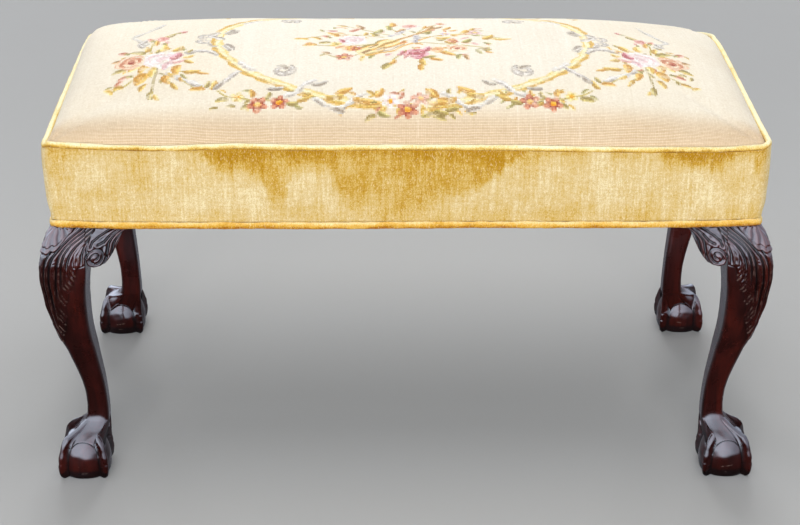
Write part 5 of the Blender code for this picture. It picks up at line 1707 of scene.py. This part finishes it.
def panel(name, spot, aim, size, power, color=(1, 1, 1)):
    light = bpy.data.lights.new(name, "AREA")
    light.shape = "RECTANGLE"
    light.size, light.size_y = size
    light.energy = power
    light.color = color
    ob = bpy.data.objects.new(name, light)
    ob.location = spot
    ob.rotation_mode = "QUATERNION"
    ob.rotation_quaternion = (Vector(aim) - Vector(spot)).to_track_quat("-Z", "Y")
    bpy.context.scene.collection.objects.link(ob)
    return ob


for args in (("overhead", (0.0, 0.55, 5.0), (0, 0, 0.4), (5.0, 5.0), 160.0),
             ("front_fill", (-0.8, -12.0, 3.7), (0, 0, 0.35), (8.0, 3.0), 1400.0, (1.0, 0.985, 0.96)),
             ("behind", (0.0, 12.0, 4.7), (0, 0, 0.2), (8.0, 2.4), 1380.0, (0.98, 0.99, 1.0))):
    panel(*args).visible_glossy = False


def studio_world():
    """Soft ambient light; polish mirrors a pale cool room above the horizon and a dark one below."""
    world = bpy.data.worlds.new("studio")
    bpy.context.scene.world = world
    world.use_nodes = True
    t = world.node_tree
    back = t.nodes["Background"]
    back.inputs[0].default_value = (0.96, 0.98, 1.0, 1.0)
    back.inputs[1].default_value = 0.16
    room = t.nodes.new("ShaderNodeBackground")
    room.inputs[1].default_value = 5.0
    split = t.nodes.new("ShaderNodeSeparateXYZ")
    coord = t.nodes.new("ShaderNodeTexCoord")
    path = t.nodes.new("ShaderNodeLightPath")
    both = t.nodes.new("ShaderNodeMixShader")
    blend = t.nodes.new("ShaderNodeMix")
    blend.data_type = "RGBA"
    link = t.links.new
    link(coord.outputs["Generated"], split.inputs[0])

    def band(axis, a, b, low, high):
        fit = t.nodes.new("ShaderNodeMapRange")
        fit.inputs["From Min"].default_value, fit.inputs["From Max"].default_value = a, b
        ramp = t.nodes.new("ShaderNodeValToRGB")
        ramp.color_ramp.elements[0].color = low + (1.0,)
        ramp.color_ramp.elements[1].color = high + (1.0,)
        link(split.outputs[axis], fit.inputs["Value"])
        link(fit.outputs["Result"], ramp.inputs[0])
        return fit.outputs["Result"], ramp.outputs["Color"]

    _, below = band(1, -0.3, 0.4, (0.006, 0.0055, 0.0055), (0.040, 0.041, 0.047))
    _, above = band(1, -1.0, 1.0, (1.60, 1.84, 2.22), (0.50, 0.57, 0.70))
    rise, _ = band(2, -0.10, 0.10, (0.0, 0.0, 0.0), (1.0, 1.0, 1.0))
    link(rise, blend.inputs["Factor"])
    link(below, blend.inputs[6])
    _, side = band(0, -0.15, 0.65, (1.0, 1.0, 1.0), (0.42, 0.42, 0.44))
    lit = t.nodes.new("ShaderNodeMix")
    lit.data_type, lit.blend_type = "RGBA", "MULTIPLY"
    lit.inputs["Factor"].default_value = 1.0
    link(above, lit.inputs[6])
    link(side, lit.inputs[7])
    link(lit.outputs[2], blend.inputs[7])
    link(blend.outputs[2], room.inputs[0])
    link(path.outputs["Is Glossy Ray"], both.inputs[0])
    link(back.outputs[0], both.inputs[1])
    link(room.outputs[0], both.inputs[2])
    link(both.outputs[0], t.nodes["World Output"].inputs[0])


studio_world()

bpy.context.scene.view_settings.view_transform = "Standard"
bpy.context.scene.view_settings.look = "None"


def camera():
    yaw, pitch, roll = (math.radians(v) for v in (-0.78495736, 25.20626947, 0.20505243))
    cy, sy, cp, sp, cr, sr = (math.cos(yaw), math.sin(yaw), math.cos(pitch), math.sin(pitch),
                              math.cos(roll), math.sin(roll))
    ry = np.array([[cy, sy, 0], [-sy, cy, 0], [0, 0, 1]])
    rp = np.array([[1, 0, 0], [0, cp, -sp], [0, sp, cp]])
    rr = np.array([[cr, 0, sr], [0, 1, 0], [-sr, 0, cr]])
    right, ahead, up = rr @ rp @ ry
    cam = bpy.data.cameras.new("camera")
    cam.sensor_fit = "HORIZONTAL"
    cam.sensor_width = 36.0
    cam.lens = 1893.8833761 * 36.0 / 800
    cam.clip_start, cam.clip_end = 0.05, 60
    ob = bpy.data.objects.new("camera", cam)
    m = Matrix.Identity(4)
    for r in range(3):
        m[r][0], m[r][1], m[r][2] = right[r], up[r], -ahead[r]
    m.translation = (-0.0388255, -2.4215637, 1.3452810)
    ob.matrix_world = m
    bpy.context.scene.collection.objects.link(ob)
    bpy.context.scene.camera = ob


camera()
bpy.context.view_layer.update()
